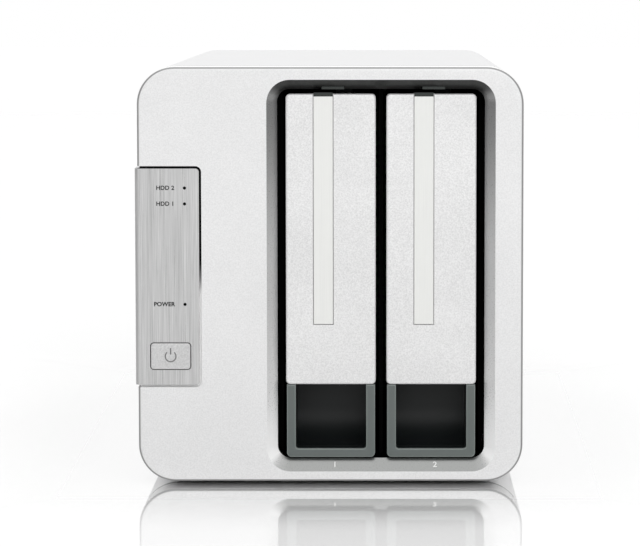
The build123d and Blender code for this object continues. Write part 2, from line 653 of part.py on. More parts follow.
def side_windows(x):
    """Cut two airing windows through an upright cage sheet that starts at x."""
    for side in (-1, 1):
        with Locations(Location((x + CAGE_SHEET / 2, WINDOW_MID_Y + side * 32.0, CAGE_MID_Z))):
            Box(3 * CAGE_SHEET, WINDOW_LENGTH, WINDOW_HEIGHT, mode=Mode.SUBTRACT)


with BuildPart() as cage_floor:
    block(
        (CAGE_LEFT - CAGE_SHEET, CAGE_RIGHT + CAGE_SHEET),
        (CAGE_FRONT, BACKPLANE_Y + BOARD_THICKNESS),
        (INNER_FLOOR, CAGE_BOTTOM),
    )
    for screw_x, screw_y in CAGE_SCREW_PLACES:
        rod_along_z(screw_x, screw_y, SCREW_RADIUS + SCREW_GAP, (INNER_FLOOR, CAGE_BOTTOM), Mode.SUBTRACT)
    for bay in BAYS:
        for row_y in VENT_ROWS_Y:
            window_right = guide_limits(bay)[0] - 1.0
            block(
                (window_right - FLOOR_WINDOW_WIDTH, window_right),
                (row_y - VENT_LENGTH / 2, row_y + VENT_LENGTH / 2),
                (INNER_FLOOR, CAGE_BOTTOM),
                Mode.SUBTRACT,
            )
save(cage_floor, "cage_floor")

with BuildPart() as cage_top:
    block(
        (CAGE_LEFT - CAGE_SHEET, CAGE_RIGHT + CAGE_SHEET),
        (CAGE_FRONT, BACKPLANE_Y + BOARD_THICKNESS),
        (CAGE_TOP, CAGE_TOP + CAGE_SHEET),
    )
save(cage_top, "cage_top")

with BuildPart() as cage_left_wall:
    block((CAGE_LEFT - CAGE_SHEET, CAGE_LEFT), (CAGE_FRONT, BACKPLANE_Y), (CAGE_BOTTOM, CAGE_TOP))
    block(
        (CAGE_LEFT - CAGE_SHEET - LEFT_FLANGE, CAGE_LEFT - CAGE_SHEET),
        (CAGE_FRONT, CAGE_FRONT + CAGE_SHEET),
        (OPENING_BOTTOM, OPENING_TOP),
    )
    side_windows(CAGE_LEFT - CAGE_SHEET)
    for boss_x, boss_z in BEZEL_SCREW_PLACES[:2]:
        rod_along_y(
            boss_x, boss_z, SCREW_RADIUS + SCREW_GAP, (CAGE_FRONT, CAGE_FRONT + CAGE_SHEET), Mode.SUBTRACT
        )
save(cage_left_wall, "cage_left_wall")

with BuildPart() as cage_right_wall:
    block((CAGE_RIGHT, CAGE_RIGHT + CAGE_SHEET), (CAGE_FRONT, BACKPLANE_Y), (CAGE_BOTTOM, CAGE_TOP))
    block(
        (CAGE_RIGHT + CAGE_SHEET, CAGE_RIGHT + CAGE_SHEET + RIGHT_FLANGE),
        (CAGE_FRONT, CAGE_FRONT + CAGE_SHEET),
        (OPENING_BOTTOM + 6.0, OPENING_TOP - 6.0),
    )
    side_windows(CAGE_RIGHT)
    for boss_x, boss_z in BEZEL_SCREW_PLACES[2:]:
        rod_along_y(
            boss_x, boss_z, SCREW_RADIUS + SCREW_GAP, (CAGE_FRONT, CAGE_FRONT + CAGE_SHEET), Mode.SUBTRACT
        )
save(cage_right_wall, "cage_right_wall")

with BuildPart() as cage_divider:
    block(
        (BAYS_CENTRE_X - CAGE_SHEET / 2, BAYS_CENTRE_X + CAGE_SHEET / 2),
        (CAGE_FRONT, BACKPLANE_Y),
        (CAGE_BOTTOM, CAGE_TOP),
    )
    side_windows(BAYS_CENTRE_X - CAGE_SHEET / 2)
save(cage_divider, "cage_divider")

LOWER_GUIDE_TOP = FRAME_BOTTOM + GUIDE_ENTRY
UPPER_GUIDE_BOTTOM = FRAME_TOP - GUIDE_ENTRY


with BuildPart() as guide_rails:
    for bay in BAYS:
        block(guide_limits(bay), (CAGE_FRONT + 3.0, BACKPLANE_Y - 8.0), (CAGE_BOTTOM, LOWER_GUIDE_TOP))
        block(guide_limits(bay), (DISK_FRONT + 3.0, BACKPLANE_Y - 8.0), (UPPER_GUIDE_BOTTOM, CAGE_TOP))
save(guide_rails, "guide_rails")

# ---------------------------------------------------------------- backplane
SOCKET_HEIGHT = 37.2
SOCKET_BOTTOM = DISK_BOTTOM + 9.4
SOCKET_GAP = 0.6
SOCKET_SIDE_GAP = 0.5
SOCKET_LEFT = 4.0
SOCKET_RIGHT = 8.7
SOCKET_REACH = 6.4
SOCKET_SLOT_GAP = 0.4
BLADE_LEFT = 6.2
BLADE_RIGHT = 7.6
BLADE_INSET = 2.6
RISER_HEIGHT = 56.0
RISER_BOTTOM = DISK_BOTTOM + 16.0
RISER_REACH = 9.0
BACKPLANE_LEFT = MAIN_BOARD_X + 2.0


def disk_left(bay):
    """Underside of a disk, which faces the left of its bay."""
    return tray_x(bay) - FRAME_WIDTH / 2 + FRAME_WEB + DISK_CLEARANCE


with BuildPart() as backplane_board:
    block(
        (CAGE_LEFT - CAGE_SHEET, CAGE_RIGHT + CAGE_SHEET),
        (BACKPLANE_Y, BACKPLANE_Y + BOARD_THICKNESS),
        (CAGE_BOTTOM, CAGE_TOP),
    )
    block(
        (BACKPLANE_LEFT, CAGE_LEFT - CAGE_SHEET),
        (BACKPLANE_Y, BACKPLANE_Y + BOARD_THICKNESS),
        (RISER_BOTTOM + 1.0, RISER_BOTTOM + RISER_HEIGHT - 1.0),
    )
    for bay in BAYS:
        with Locations((tray_x(bay) + 5.0, BACKPLANE_Y + BOARD_THICKNESS / 2, CAGE_MID_Z + 10.0)):
            Box(10.0, 2 * BOARD_THICKNESS, 76.0, mode=Mode.SUBTRACT)
save(backplane_board, "backplane_board")

with BuildPart() as sata_sockets:
    for bay in BAYS:
        left = disk_left(bay)
        block(
            (left + SOCKET_LEFT, left + SOCKET_RIGHT),
            (DISK_REAR - SOCKET_REACH, BACKPLANE_Y),
            (SOCKET_BOTTOM, SOCKET_BOTTOM + SOCKET_HEIGHT),
        )
        block(
            (left + BLADE_LEFT - SOCKET_SLOT_GAP, left + BLADE_RIGHT + SOCKET_SLOT_GAP),
            (DISK_REAR - SOCKET_REACH, DISK_REAR),
            (
                SOCKET_BOTTOM + BLADE_INSET - SOCKET_SLOT_GAP,
                SOCKET_BOTTOM + SOCKET_HEIGHT - BLADE_INSET + SOCKET_SLOT_GAP,
            ),
            Mode.SUBTRACT,
        )
save(sata_sockets, "sata_sockets")

with BuildPart() as riser_slot:
    block(
        (MAIN_BOARD_X, MAIN_BOARD_X + RISER_REACH),
        (BACKPLANE_Y - 3.2, BACKPLANE_Y + BOARD_THICKNESS + 3.2),
        (RISER_BOTTOM, RISER_BOTTOM + RISER_HEIGHT),
    )
    block(
        (BACKPLANE_LEFT - 0.2, MAIN_BOARD_X + RISER_REACH),
        (BACKPLANE_Y - 0.1, BACKPLANE_Y + BOARD_THICKNESS + 0.1),
        (RISER_BOTTOM + 0.8, RISER_BOTTOM + RISER_HEIGHT - 0.8),
        Mode.SUBTRACT,
    )
save(riser_slot, "riser_slot")

# ---------------------------------------------------------------- main board
STANDOFF_RADIUS = 2.6
STANDOFF_PLACES = [
    (y, z)
    for y in (MAIN_BOARD_FRONT + 6.0, BACKPLANE_Y - 12.0)
    for z in (MAIN_BOARD_BOTTOM + 6.0, MAIN_BOARD_TOP - 6.0)
]

with BuildPart() as main_board:
    block(
        (MAIN_BOARD_FACE, MAIN_BOARD_X),
        (MAIN_BOARD_FRONT, MAIN_BOARD_REAR),
        (MAIN_BOARD_BOTTOM, MAIN_BOARD_TOP),
    )
    through = (MAIN_BOARD_FACE, MAIN_BOARD_X)
    for hole_y, hole_z in STANDOFF_PLACES:
        rod_along_x(hole_y, hole_z, SCREW_RADIUS + SCREW_GAP, through, Mode.SUBTRACT)
save(main_board, "main_board")

with BuildPart() as board_standoffs:
    for hole_y, hole_z in STANDOFF_PLACES:
        with BuildSketch(facing_right(MAIN_BOARD_X, hole_y, hole_z)):
            RegularPolygon(STANDOFF_RADIUS, 6)
        extrude(amount=MAIN_BOARD_GAP)
        rod_along_x(
            hole_y, hole_z, SCREW_RADIUS + SCREW_GAP, (MAIN_BOARD_X, MAIN_BOARD_X + 6.0), Mode.SUBTRACT
        )
save(board_standoffs, "board_standoffs")

with BuildPart() as board_screws:
    for hole_y, hole_z in STANDOFF_PLACES:
        rod_along_x(hole_y, hole_z, SCREW_RADIUS, (MAIN_BOARD_FACE, MAIN_BOARD_X + 5.0))
        rod_along_x(
            hole_y, hole_z, SCREW_HEAD_RADIUS, (MAIN_BOARD_FACE - SCREW_HEAD_HEIGHT, MAIN_BOARD_FACE)
        )
save(board_screws, "board_screws")

CHIP_Y = MAIN_BOARD_FRONT + 40.0
CHIP_Z = MAIN_BOARD_BOTTOM + 62.0
CHIP_SIZE = 22.0
MEMORY_SIZE = (1.2, 8.0, 12.0)

with BuildPart() as processor:
    block(
        (MAIN_BOARD_FACE - CHIP_HEIGHT, MAIN_BOARD_FACE),
        (CHIP_Y - CHIP_SIZE / 2, CHIP_Y + CHIP_SIZE / 2),
        (CHIP_Z - CHIP_SIZE / 2, CHIP_Z + CHIP_SIZE / 2),
    )
save(processor, "processor")

HEATSINK_X = MAIN_BOARD_FACE - CHIP_HEIGHT
FIN_PITCH = (HEATSINK_SIZE - 1.2) / (HEATSINK_FINS - 1)

with BuildPart() as processor_heatsink:
    with Locations((HEATSINK_X - HEATSINK_BASE / 2, CHIP_Y, CHIP_Z)):
        Box(HEATSINK_BASE, HEATSINK_SIZE, HEATSINK_SIZE)
    with Locations((HEATSINK_X - HEATSINK_BASE - HEATSINK_FIN / 2, CHIP_Y, CHIP_Z)):
        with GridLocations(1, FIN_PITCH, 1, HEATSINK_FINS):
            Box(HEATSINK_FIN, 1.2, HEATSINK_SIZE)
save(processor_heatsink, "processor_heatsink")

with BuildPart() as memory_chips:
    for row in range(4):
        block(
            (MAIN_BOARD_FACE - MEMORY_SIZE[0], MAIN_BOARD_FACE),
            (CHIP_Y + 25.0, CHIP_Y + 25.0 + MEMORY_SIZE[1]),
            (CHIP_Z - 26.0 + 14.0 * row, CHIP_Z - 26.0 + 14.0 * row + MEMORY_SIZE[2]),
        )
save(memory_chips, "memory_chips")

with BuildPart() as capacitors:
    for row in range(4):
        rod_along_x(
            MAIN_BOARD_FRONT + 30.0 + 10.0 * row,
            MAIN_BOARD_BOTTOM + 15.0,
            3.2,
            (MAIN_BOARD_FACE - 9.0, MAIN_BOARD_FACE),
        )
    fillet(capacitors.faces().group_by(Axis.X)[0].edges(), 0.5)
save(capacitors, "capacitors")

# ---------------------------------------------------------------- rear connectors
ETHERNET_Z = MAIN_BOARD_BOTTOM + 38.0
USB_Z = (MAIN_BOARD_BOTTOM + 58.0, MAIN_BOARD_BOTTOM + 75.0)
JACK_Z = MAIN_BOARD_BOTTOM + 95.0
PORT_FACE = PANEL_BACK - 0.3


def port_box(size, z, spare=0.0):
    """Limits of a port's face in x and z, widened by the spare room on each side."""
    x_limits = (MAIN_BOARD_FACE - size[0] - spare, MAIN_BOARD_FACE + min(spare, 0.0))
    z_limits = (z - size[2] / 2 - spare, z + size[2] / 2 + spare)
    return x_limits, z_limits


with BuildPart() as ethernet_port:
    x_limits, z_limits = port_box(ETHERNET_SIZE, ETHERNET_Z)
    block(x_limits, (PORT_FACE - ETHERNET_SIZE[1], PORT_FACE), z_limits)
    x_limits, z_limits = port_box(ETHERNET_SIZE, ETHERNET_Z, -1.4)
    block(x_limits, (PORT_FACE - 15.0, PORT_FACE), z_limits, Mode.SUBTRACT)
save(ethernet_port, "ethernet_port")

with BuildPart() as usb_ports:
    for usb_z in USB_Z:
        x_limits, z_limits = port_box(USB_SIZE, usb_z)
        block(x_limits, (PORT_FACE - USB_SIZE[1], PORT_FACE), z_limits)
        x_limits, z_limits = port_box(USB_SIZE, usb_z, -0.7)
        block(x_limits, (PORT_FACE - 13.0, PORT_FACE), z_limits, Mode.SUBTRACT)
        block(
            (x_limits[1] - 2.2, x_limits[1]),
            (PORT_FACE - 13.0, PORT_FACE - 1.0),
            (z_limits[0] + 0.9, z_limits[1] - 0.9),
        )
save(usb_ports, "usb_ports")

JACK_X = MAIN_BOARD_FACE - JACK_SIZE[0] / 2

with BuildPart() as power_jack:
    x_limits, z_limits = port_box(JACK_SIZE, JACK_Z)
    block(x_limits, (PORT_FACE - JACK_SIZE[1], PORT_FACE), z_limits)
    rod_along_y(JACK_X, JACK_Z, JACK_BORE_RADIUS, (PORT_FACE - JACK_BORE_DEPTH, PORT_FACE), Mode.SUBTRACT)
    rod_along_y(JACK_X, JACK_Z, JACK_PIN_RADIUS, (PORT_FACE - JACK_BORE_DEPTH, PORT_FACE - 1.0))
save(power_jack, "power_jack")

# ---------------------------------------------------------------- rear panel and fan
REAR_PANEL_GAP = 0.3
FAN_Z = BODY_MID
FAN_HOLES = [
    (FAN_CENTRE_X + sx * FAN_HOLE_PITCH / 2, FAN_Z + sz * FAN_HOLE_PITCH / 2)
    for sx in (-1, 1)
    for sz in (-1, 1)
]
GRILLE_ROWS = int(GRILLE_RADIUS / (GRILLE_PITCH * math.sin(math.pi / 3))) + 1
GRILLE_COLUMNS = int(GRILLE_RADIUS / GRILLE_PITCH) + 1
GRILLE_HOLES = [
    ((column + (row % 2) / 2) * GRILLE_PITCH, row * GRILLE_PITCH * math.sin(math.pi / 3))
    for row in range(-GRILLE_ROWS, GRILLE_ROWS + 1)
    for column in range(-GRILLE_COLUMNS, GRILLE_COLUMNS + 1)
]
GRILLE_HOLES = [place for place in GRILLE_HOLES if math.hypot(*place) < GRILLE_RADIUS - GRILLE_HOLE]

with BuildPart() as rear_panel:
    with BuildSketch(facing_front(0, PANEL_FRONT, BODY_MID)):
        RectangleRounded(
            WIDTH - 2 * (SHELL_WALL + REAR_PANEL_GAP),
            BODY_HEIGHT - 2 * (SHELL_WALL + REAR_PANEL_GAP),
            CORNER_RADIUS - SHELL_WALL - REAR_PANEL_GAP,
        )
        with Locations((FAN_CENTRE_X, FAN_Z - BODY_MID)):
            with Locations(*GRILLE_HOLES):
                Circle(GRILLE_HOLE, mode=Mode.SUBTRACT)
    extrude(amount=-PANEL_SHEET)
    for hole_x, hole_z in REAR_SCREW_PLACES + FAN_HOLES:
        rod_along_y(hole_x, hole_z, SCREW_RADIUS + SCREW_GAP, (PANEL_FRONT, PANEL_BACK), Mode.SUBTRACT)
    for size, port_z in (
        (ETHERNET_SIZE, ETHERNET_Z),
        (USB_SIZE, USB_Z[0]),
        (USB_SIZE, USB_Z[1]),
        (JACK_SIZE, JACK_Z),
    ):
        x_limits, z_limits = port_box(size, port_z, PORT_GAP)
        block((x_limits[0], x_limits[1] + PORT_GAP), (PANEL_FRONT, PANEL_BACK), z_limits, Mode.SUBTRACT)
save(rear_panel, "rear_panel")

with BuildPart() as rear_panel_screws:
    for hole_x, hole_z in REAR_SCREW_PLACES:
        rod_along_y(hole_x, hole_z, SCREW_RADIUS, (PANEL_FRONT - 8.0, PANEL_BACK))
        rod_along_y(hole_x, hole_z, SCREW_HEAD_RADIUS, (PANEL_BACK, PANEL_BACK + REAR_HEAD_HEIGHT))
save(rear_panel_screws, "rear_panel_screws")

FAN_STRUT = 3.0
POST_RADIUS = 4.0
POST_LENGTH = 12.0
SHAFT_RADIUS = 1.5
SHAFT_GAP = 0.08
HUB_BASE = FAN_FRONT + FAN_STRUT
HUB_FRONT = HUB_BASE + 1.0
HUB_REAR = PANEL_FRONT - 2.5

with BuildPart() as fan_frame:
    with BuildSketch(facing_front(FAN_CENTRE_X, FAN_FRONT, FAN_Z)):
        RectangleRounded(FAN_SIZE, FAN_SIZE, 4.0)
    extrude(amount=-FAN_FLANGE)
    with BuildSketch(facing_front(FAN_CENTRE_X, PANEL_FRONT - FAN_FLANGE, FAN_Z)):
        RectangleRounded(FAN_SIZE, FAN_SIZE, 4.0)
    extrude(amount=-FAN_FLANGE)
    rod_along_y(FAN_CENTRE_X, FAN_Z, FAN_SIZE / 2, (FAN_FRONT, PANEL_FRONT))
    rod_along_y(FAN_CENTRE_X, FAN_Z, FAN_BORE, (FAN_FRONT, PANEL_FRONT), Mode.SUBTRACT)
    for turn in (45.0, 135.0):
        with Locations(Location((FAN_CENTRE_X, FAN_FRONT + FAN_STRUT / 2, FAN_Z), (0, turn, 0))):
            Box(2 * FAN_BORE + 0.6, FAN_STRUT, 3.4)
    rod_along_y(FAN_CENTRE_X, FAN_Z, HUB_RADIUS, (FAN_FRONT, HUB_BASE))
    rod_along_y(FAN_CENTRE_X, FAN_Z, POST_RADIUS, (HUB_BASE, HUB_BASE + POST_LENGTH))
    shaft_bore = (HUB_BASE + 1.0, HUB_BASE + POST_LENGTH)
    rod_along_y(FAN_CENTRE_X, FAN_Z, SHAFT_RADIUS + SHAFT_GAP, shaft_bore, Mode.SUBTRACT)
    for hole_x, hole_z in FAN_HOLES:
        rod_along_y(hole_x, hole_z, SCREW_RADIUS + SCREW_GAP, (FAN_FRONT, PANEL_FRONT), Mode.SUBTRACT)
save(fan_frame, "fan_frame")

with BuildPart() as fan_screws:
    for hole_x, hole_z in FAN_HOLES:
        rod_along_y(hole_x, hole_z, SCREW_RADIUS, (PANEL_FRONT - 12.0, PANEL_BACK))
        rod_along_y(hole_x, hole_z, SCREW_HEAD_RADIUS, (PANEL_BACK, PANEL_BACK + REAR_HEAD_HEIGHT))
save(fan_screws, "fan_screws")

BLADE_MID_Y = (HUB_FRONT + HUB_REAR) / 2
BLADE_THICKNESS = 1.3
BLADE_ROOT = (HUB_RADIUS - HUB_WALL / 2, 17.0, 52.0)
BLADE_TIP = (FAN_TIP_RADIUS, 22.0, 34.0)


def blade_section_plane(radius, pitch, turn):
    """Plane across a fan blade at the given radius, with local x along its chord."""
    radial = Vector(math.cos(turn), 0, math.sin(turn))
    tangent = Vector(-math.sin(turn), 0, math.cos(turn))
    chord = tangent * math.cos(math.radians(pitch)) + Vector(0, math.sin(math.radians(pitch)), 0)
    middle = Vector(FAN_CENTRE_X, BLADE_MID_Y, FAN_Z) + radial * radius
    return Plane(origin=middle, x_dir=chord, z_dir=radial)


with BuildPart() as fan_rotor:
    for blade in range(FAN_BLADES):
        blade_turn = 2 * math.pi * blade / FAN_BLADES
        for radius, chord_length, pitch in (BLADE_ROOT, BLADE_TIP):
            with BuildSketch(blade_section_plane(radius, pitch, blade_turn)):
                Rectangle(chord_length, BLADE_THICKNESS)
        loft()
    rod_along_y(FAN_CENTRE_X, FAN_Z, FAN_TIP_RADIUS + 5.0, (HUB_FRONT - 30.0, HUB_FRONT), Mode.SUBTRACT)
    rod_along_y(FAN_CENTRE_X, FAN_Z, HUB_RADIUS - HUB_WALL, (HUB_FRONT, HUB_REAR), Mode.SUBTRACT)
    with BuildSketch(facing_front(FAN_CENTRE_X, HUB_FRONT, FAN_Z)):
        Circle(HUB_RADIUS)
        Circle(HUB_RADIUS - HUB_WALL, mode=Mode.SUBTRACT)
    extrude(amount=HUB_FRONT - HUB_REAR)
    rod_along_y(FAN_CENTRE_X, FAN_Z, HUB_RADIUS, (HUB_REAR - HUB_WALL, HUB_REAR))
    rod_along_y(FAN_CENTRE_X, FAN_Z, SHAFT_RADIUS, (HUB_BASE + 1.6, HUB_REAR))
save(fan_rotor, "fan_rotor")

# ---------------------------------------------------------------- cables held inside
FRONT_LEAD_RADIUS = 1.5
FAN_LEAD_RADIUS = 1.0
FRONT_PLUG_X = FRONT_BOARD_LEFT + 9.0
FRONT_PLUG_Z = PANEL_TOP - 24.0
BOARD_PLUG_Z = MAIN_BOARD_BOTTOM + 52.0
BOARD_PLUG_X = MAIN_BOARD_FACE - 3.0
FAN_PLUG_Y = MAIN_BOARD_REAR - 33.0
FAN_PLUG_Z = MAIN_BOARD_BOTTOM + 9.0
FAN_PLUG_X = MAIN_BOARD_X + 3.0
FRONT_PLUG_END = FRONT_BOARD_Y + BOARD_THICKNESS + PLUG_LENGTH

with BuildPart() as lead_plugs:
    block(
        (FRONT_PLUG_X - 3.0, FRONT_PLUG_X + 3.0),
        (FRONT_PLUG_END - PLUG_LENGTH, FRONT_PLUG_END),
        (FRONT_PLUG_Z - 5.0, FRONT_PLUG_Z + 5.0),
    )
    block(
        (MAIN_BOARD_FACE - HEADER_DEPTH, MAIN_BOARD_FACE),
        (MAIN_BOARD_FRONT, MAIN_BOARD_FRONT + PLUG_LENGTH),
        (BOARD_PLUG_Z - 5.0, BOARD_PLUG_Z + 5.0),
    )
    block(
        (MAIN_BOARD_X, MAIN_BOARD_X + HEADER_DEPTH),
        (FAN_PLUG_Y - 4.0, FAN_PLUG_Y + 4.0),
        (FAN_PLUG_Z, FAN_PLUG_Z + PLUG_LENGTH),
    )
save(lead_plugs, "lead_plugs")

FRONT_LEAD_ROUTE = [
    (FRONT_PLUG_X, FRONT_PLUG_END, FRONT_PLUG_Z),
    (FRONT_PLUG_X, FRONT_PLUG_END + 20.0, FRONT_PLUG_Z),
    (FRONT_PLUG_X + 2.5, FRONT_PLUG_END + 44.0, FRONT_PLUG_Z - 4.0),
    (BOARD_PLUG_X - 4.0, MAIN_BOARD_FRONT - 38.0, BOARD_PLUG_Z + 2.5),
    (BOARD_PLUG_X, MAIN_BOARD_FRONT - 18.0, BOARD_PLUG_Z),
    (BOARD_PLUG_X, MAIN_BOARD_FRONT, BOARD_PLUG_Z),
]
FAN_LEAD_ROUTE = [
    (FAN_CENTRE_X - 22.0, FAN_FRONT + 1.75, FAN_Z - FAN_SIZE / 2),
    (FAN_CENTRE_X - 22.0, FAN_FRONT + 1.75, INNER_FLOOR + 7.0),
    (FAN_CENTRE_X - 30.0, FAN_PLUG_Y + 4.5, INNER_FLOOR + 3.5),
    (FAN_PLUG_X, FAN_PLUG_Y, INNER_FLOOR + 5.5),
    (FAN_PLUG_X, FAN_PLUG_Y, FAN_PLUG_Z),
]


def lead(route, radius):
    """Round lead along straight runs joined by tangent arcs."""
    with BuildPart() as piece:
        with BuildLine() as path:
            FilletPolyline(*route, radius=arc_radii(route))
        start = path.line @ 0
        with BuildSketch(Plane(origin=start, z_dir=path.line % 0)):
            Circle(radius)
        sweep(path=path.line)
    return piece


save(lead(FRONT_LEAD_ROUTE, FRONT_LEAD_RADIUS), "front_lead")
save(lead(FAN_LEAD_ROUTE, FAN_LEAD_RADIUS), "fan_lead")
print("front lead arcs", [round(r, 1) for r in arc_radii(FRONT_LEAD_ROUTE)])
print("fan lead arcs", [round(r, 1) for r in arc_radii(FAN_LEAD_ROUTE)])

# ---------------------------------------------------------------- drive trays
EAR_OUTER = TRAY_WIDTH / 2 - LEVER_SKIRT - EAR_GAP
SCOOP_HALF = TRAY_WIDTH / 2 - GRIP_INSET - GRIP_SIDE
SCOOP_FLOOR = TRAY_BOTTOM + GRIP_FLOOR
SCOOP_TOP = TRAY_BOTTOM + GRIP_HEIGHT + SCOOP_OVERLAP
SCOOP_BACK = FRAME_FACE + SCOOP_DEPTH
DISK_HOLES_Y = (DISK_REAR - DISK_HOLE_FROM_REAR, DISK_REAR - DISK_HOLE_FROM_REAR - DISK_HOLE_SPACING)
DISK_SCREW_RADIUS = 1.6
DISK_SCREW_HEAD = 2.9
DISK_HEAD_HEIGHT = 1.2
DISK_SCREW_SINK = 1.3
DISK_SCREW_SEAT = 1.7
DISK_SCREW_BITE = 4.0
TRAY_HOLE_GAP = 0.3
WEB_WINDOW = (54.0, 72.0)
SOCKET_POCKET = 8.5
BLADE_REACH = 7.0
BLADE_SETBACK = 1.0
DISK_BOARD_LENGTH = 92.0
DISK_BOARD_SETBACK = 0.4
DISK_BOARD_RISE = 4.0
DISK_BOARD_HEIGHT = 80.0


def build_tray_frame(bay):
    """Moulded tray: front wall with finger scoop, two hinge ears, side web and two rails."""
    middle = tray_x(bay)
    half = FRAME_WIDTH / 2
    web = (middle - half, middle - half + FRAME_WEB)
    screw_x = disk_left(bay) + DISK_HOLE_RISE
    with BuildPart() as piece:
        block(
            (middle - half, middle + half),
            (FRAME_FACE, FRAME_FACE + FRAME_FRONT),
            (TRAY_BOTTOM + FRAME_WALL_RISE, FRAME_WALL_TOP),
        )
        block(
            (middle - SCOOP_HALF - SCOOP_WALL, middle + SCOOP_HALF + SCOOP_WALL),
            (FRAME_FACE, SCOOP_BACK + SCOOP_WALL),
            (FRAME_BOTTOM, SCOOP_TOP + SCOOP_WALL),
        )
        block((middle - half, middle + half), (FRAME_FACE, FRAME_REAR), (FRAME_BOTTOM, DISK_BOTTOM))
        block((middle - half, middle + half), (DISK_FRONT, FRAME_REAR), (DISK_TOP, FRAME_TOP))
        block(web, (FRAME_FACE + FRAME_FRONT, FRAME_REAR), (DISK_BOTTOM, FRAME_WALL_TOP))
        block(web, (DISK_FRONT, FRAME_REAR), (FRAME_WALL_TOP, DISK_TOP))
        for side in (-1, 1):
            with BuildSketch(facing_right(middle + side * (EAR_OUTER - EAR_WIDTH / 2), PIVOT_Y, PIVOT_Z)):
                Circle(EAR_RADIUS)
                with Locations((0, 0)):
                    Rectangle(EAR_RADIUS, EAR_DROP, align=(Align.MAX, Align.MAX))
                    Rectangle(FRAME_FACE + FRAME_FRONT - PIVOT_Y, EAR_DROP, align=(Align.MIN, Align.MAX))
                Circle(PIN_RADIUS + PIN_CLEARANCE, mode=Mode.SUBTRACT)
            extrude(amount=EAR_WIDTH / 2, both=True)
        with BuildSketch(facing_right(middle, 0, 0)):
            with BuildLine():
                Line((FRAME_FACE, SCOOP_TOP), (FRAME_FACE, SCOOP_FLOOR))
                ThreePointArc(
                    (FRAME_FACE, SCOOP_FLOOR),
                    (FRAME_FACE + SCOOP_BEND[0] * SCOOP_DEPTH, SCOOP_FLOOR + SCOOP_BEND[1] * SCOOP_RISE),
                    (SCOOP_BACK, SCOOP_FLOOR + SCOOP_RISE),
                )
                Line((SCOOP_BACK, SCOOP_FLOOR + SCOOP_RISE), (SCOOP_BACK, SCOOP_TOP))
                Line((SCOOP_BACK, SCOOP_TOP), (FRAME_FACE, SCOOP_TOP))
            make_face()
        extrude(amount=SCOOP_HALF, both=True, mode=Mode.SUBTRACT)
        for low, high in (
            (FRAME_BOTTOM, FRAME_BOTTOM + GUIDE_ENTRY + GUIDE_CLEARANCE),
            (FRAME_TOP - GUIDE_ENTRY - GUIDE_CLEARANCE, FRAME_TOP),
        ):
            block(
                guide_limits(bay, GUIDE_CLEARANCE),
                (FRAME_FACE + FRAME_FRONT + 0.5, FRAME_REAR),
                (low, high),
                Mode.SUBTRACT,
            )
        for hole_y in DISK_HOLES_Y:
            for radius, low, high in (
                (DISK_SCREW_RADIUS, FRAME_BOTTOM, DISK_BOTTOM),
                (DISK_SCREW_HEAD, FRAME_BOTTOM, FRAME_BOTTOM + DISK_SCREW_SINK),
                (DISK_SCREW_RADIUS, DISK_TOP, FRAME_TOP),
                (DISK_SCREW_HEAD, DISK_TOP + DISK_SCREW_SEAT, FRAME_TOP),
            ):
                rod_along_z(screw_x, hole_y, radius + TRAY_HOLE_GAP, (low, high), Mode.SUBTRACT)
        for side in (-1, 1):
            window_y = (DISK_FRONT + DISK_REAR) / 2 + side * DISK_LENGTH / 4
            with Locations((middle - half + FRAME_WEB / 2, window_y, (DISK_BOTTOM + DISK_TOP) / 2)):
                Box(2 * FRAME_WEB, *WEB_WINDOW, mode=Mode.SUBTRACT)
    return piece


def build_lever(bay):
    """Hollow front lever that turns on a pin near its top."""
    middle = tray_x(bay)
    lever_mid = (LEVER_BOTTOM + TRAY_TOP) / 2
    channel_x = middle + STRIP_OFFSET_X
    with BuildPart() as piece:
        with BuildSketch(facing_front(middle, TRAY_FACE, lever_mid)):
            RectangleRounded(TRAY_WIDTH, LEVER_HEIGHT, LEVER_CORNER)
        extrude(amount=-LEVER_DEPTH)
        fillet(piece.faces().sort_by(Axis.Y)[0].edges(), LEVER_EDGE)
        block(
            (middle - TRAY_WIDTH / 2 + LEVER_SKIRT, middle + TRAY_WIDTH / 2 - LEVER_SKIRT),
            (TRAY_FACE + LEVER_FACE, LEVER_BACK),
            (LEVER_BOTTOM + LEVER_SKIRT, TRAY_TOP - LEVER_SKIRT),
            Mode.SUBTRACT,
        )
        for side in (-1, 1):
            skirt_outer = middle + side * TRAY_WIDTH / 2
            skirt_inner = middle + side * (TRAY_WIDTH / 2 - LEVER_SKIRT)
            skirt = (min(skirt_outer, skirt_inner), max(skirt_outer, skirt_inner))
            rod_along_x(PIVOT_Y, PIVOT_Z, PIN_RADIUS + LEVER_BOSS_WALL, skirt)
        rod_along_x(
            PIVOT_Y,
            PIVOT_Z,
            PIN_RADIUS + PIN_CLEARANCE / 2,
            (middle - TRAY_WIDTH / 2 + PIN_SKIN, middle + TRAY_WIDTH / 2 - PIN_SKIN),
            Mode.SUBTRACT,
        )
        block(
            (channel_x - STRIP_WIDTH / 2 - STRIP_GROOVE, channel_x + STRIP_WIDTH / 2 + STRIP_GROOVE),
            (TRAY_FACE, STRIP_BED),
            (TRAY_TOP - STRIP_LENGTH - STRIP_GROOVE, TRAY_TOP),
            Mode.SUBTRACT,
        )
    return piece


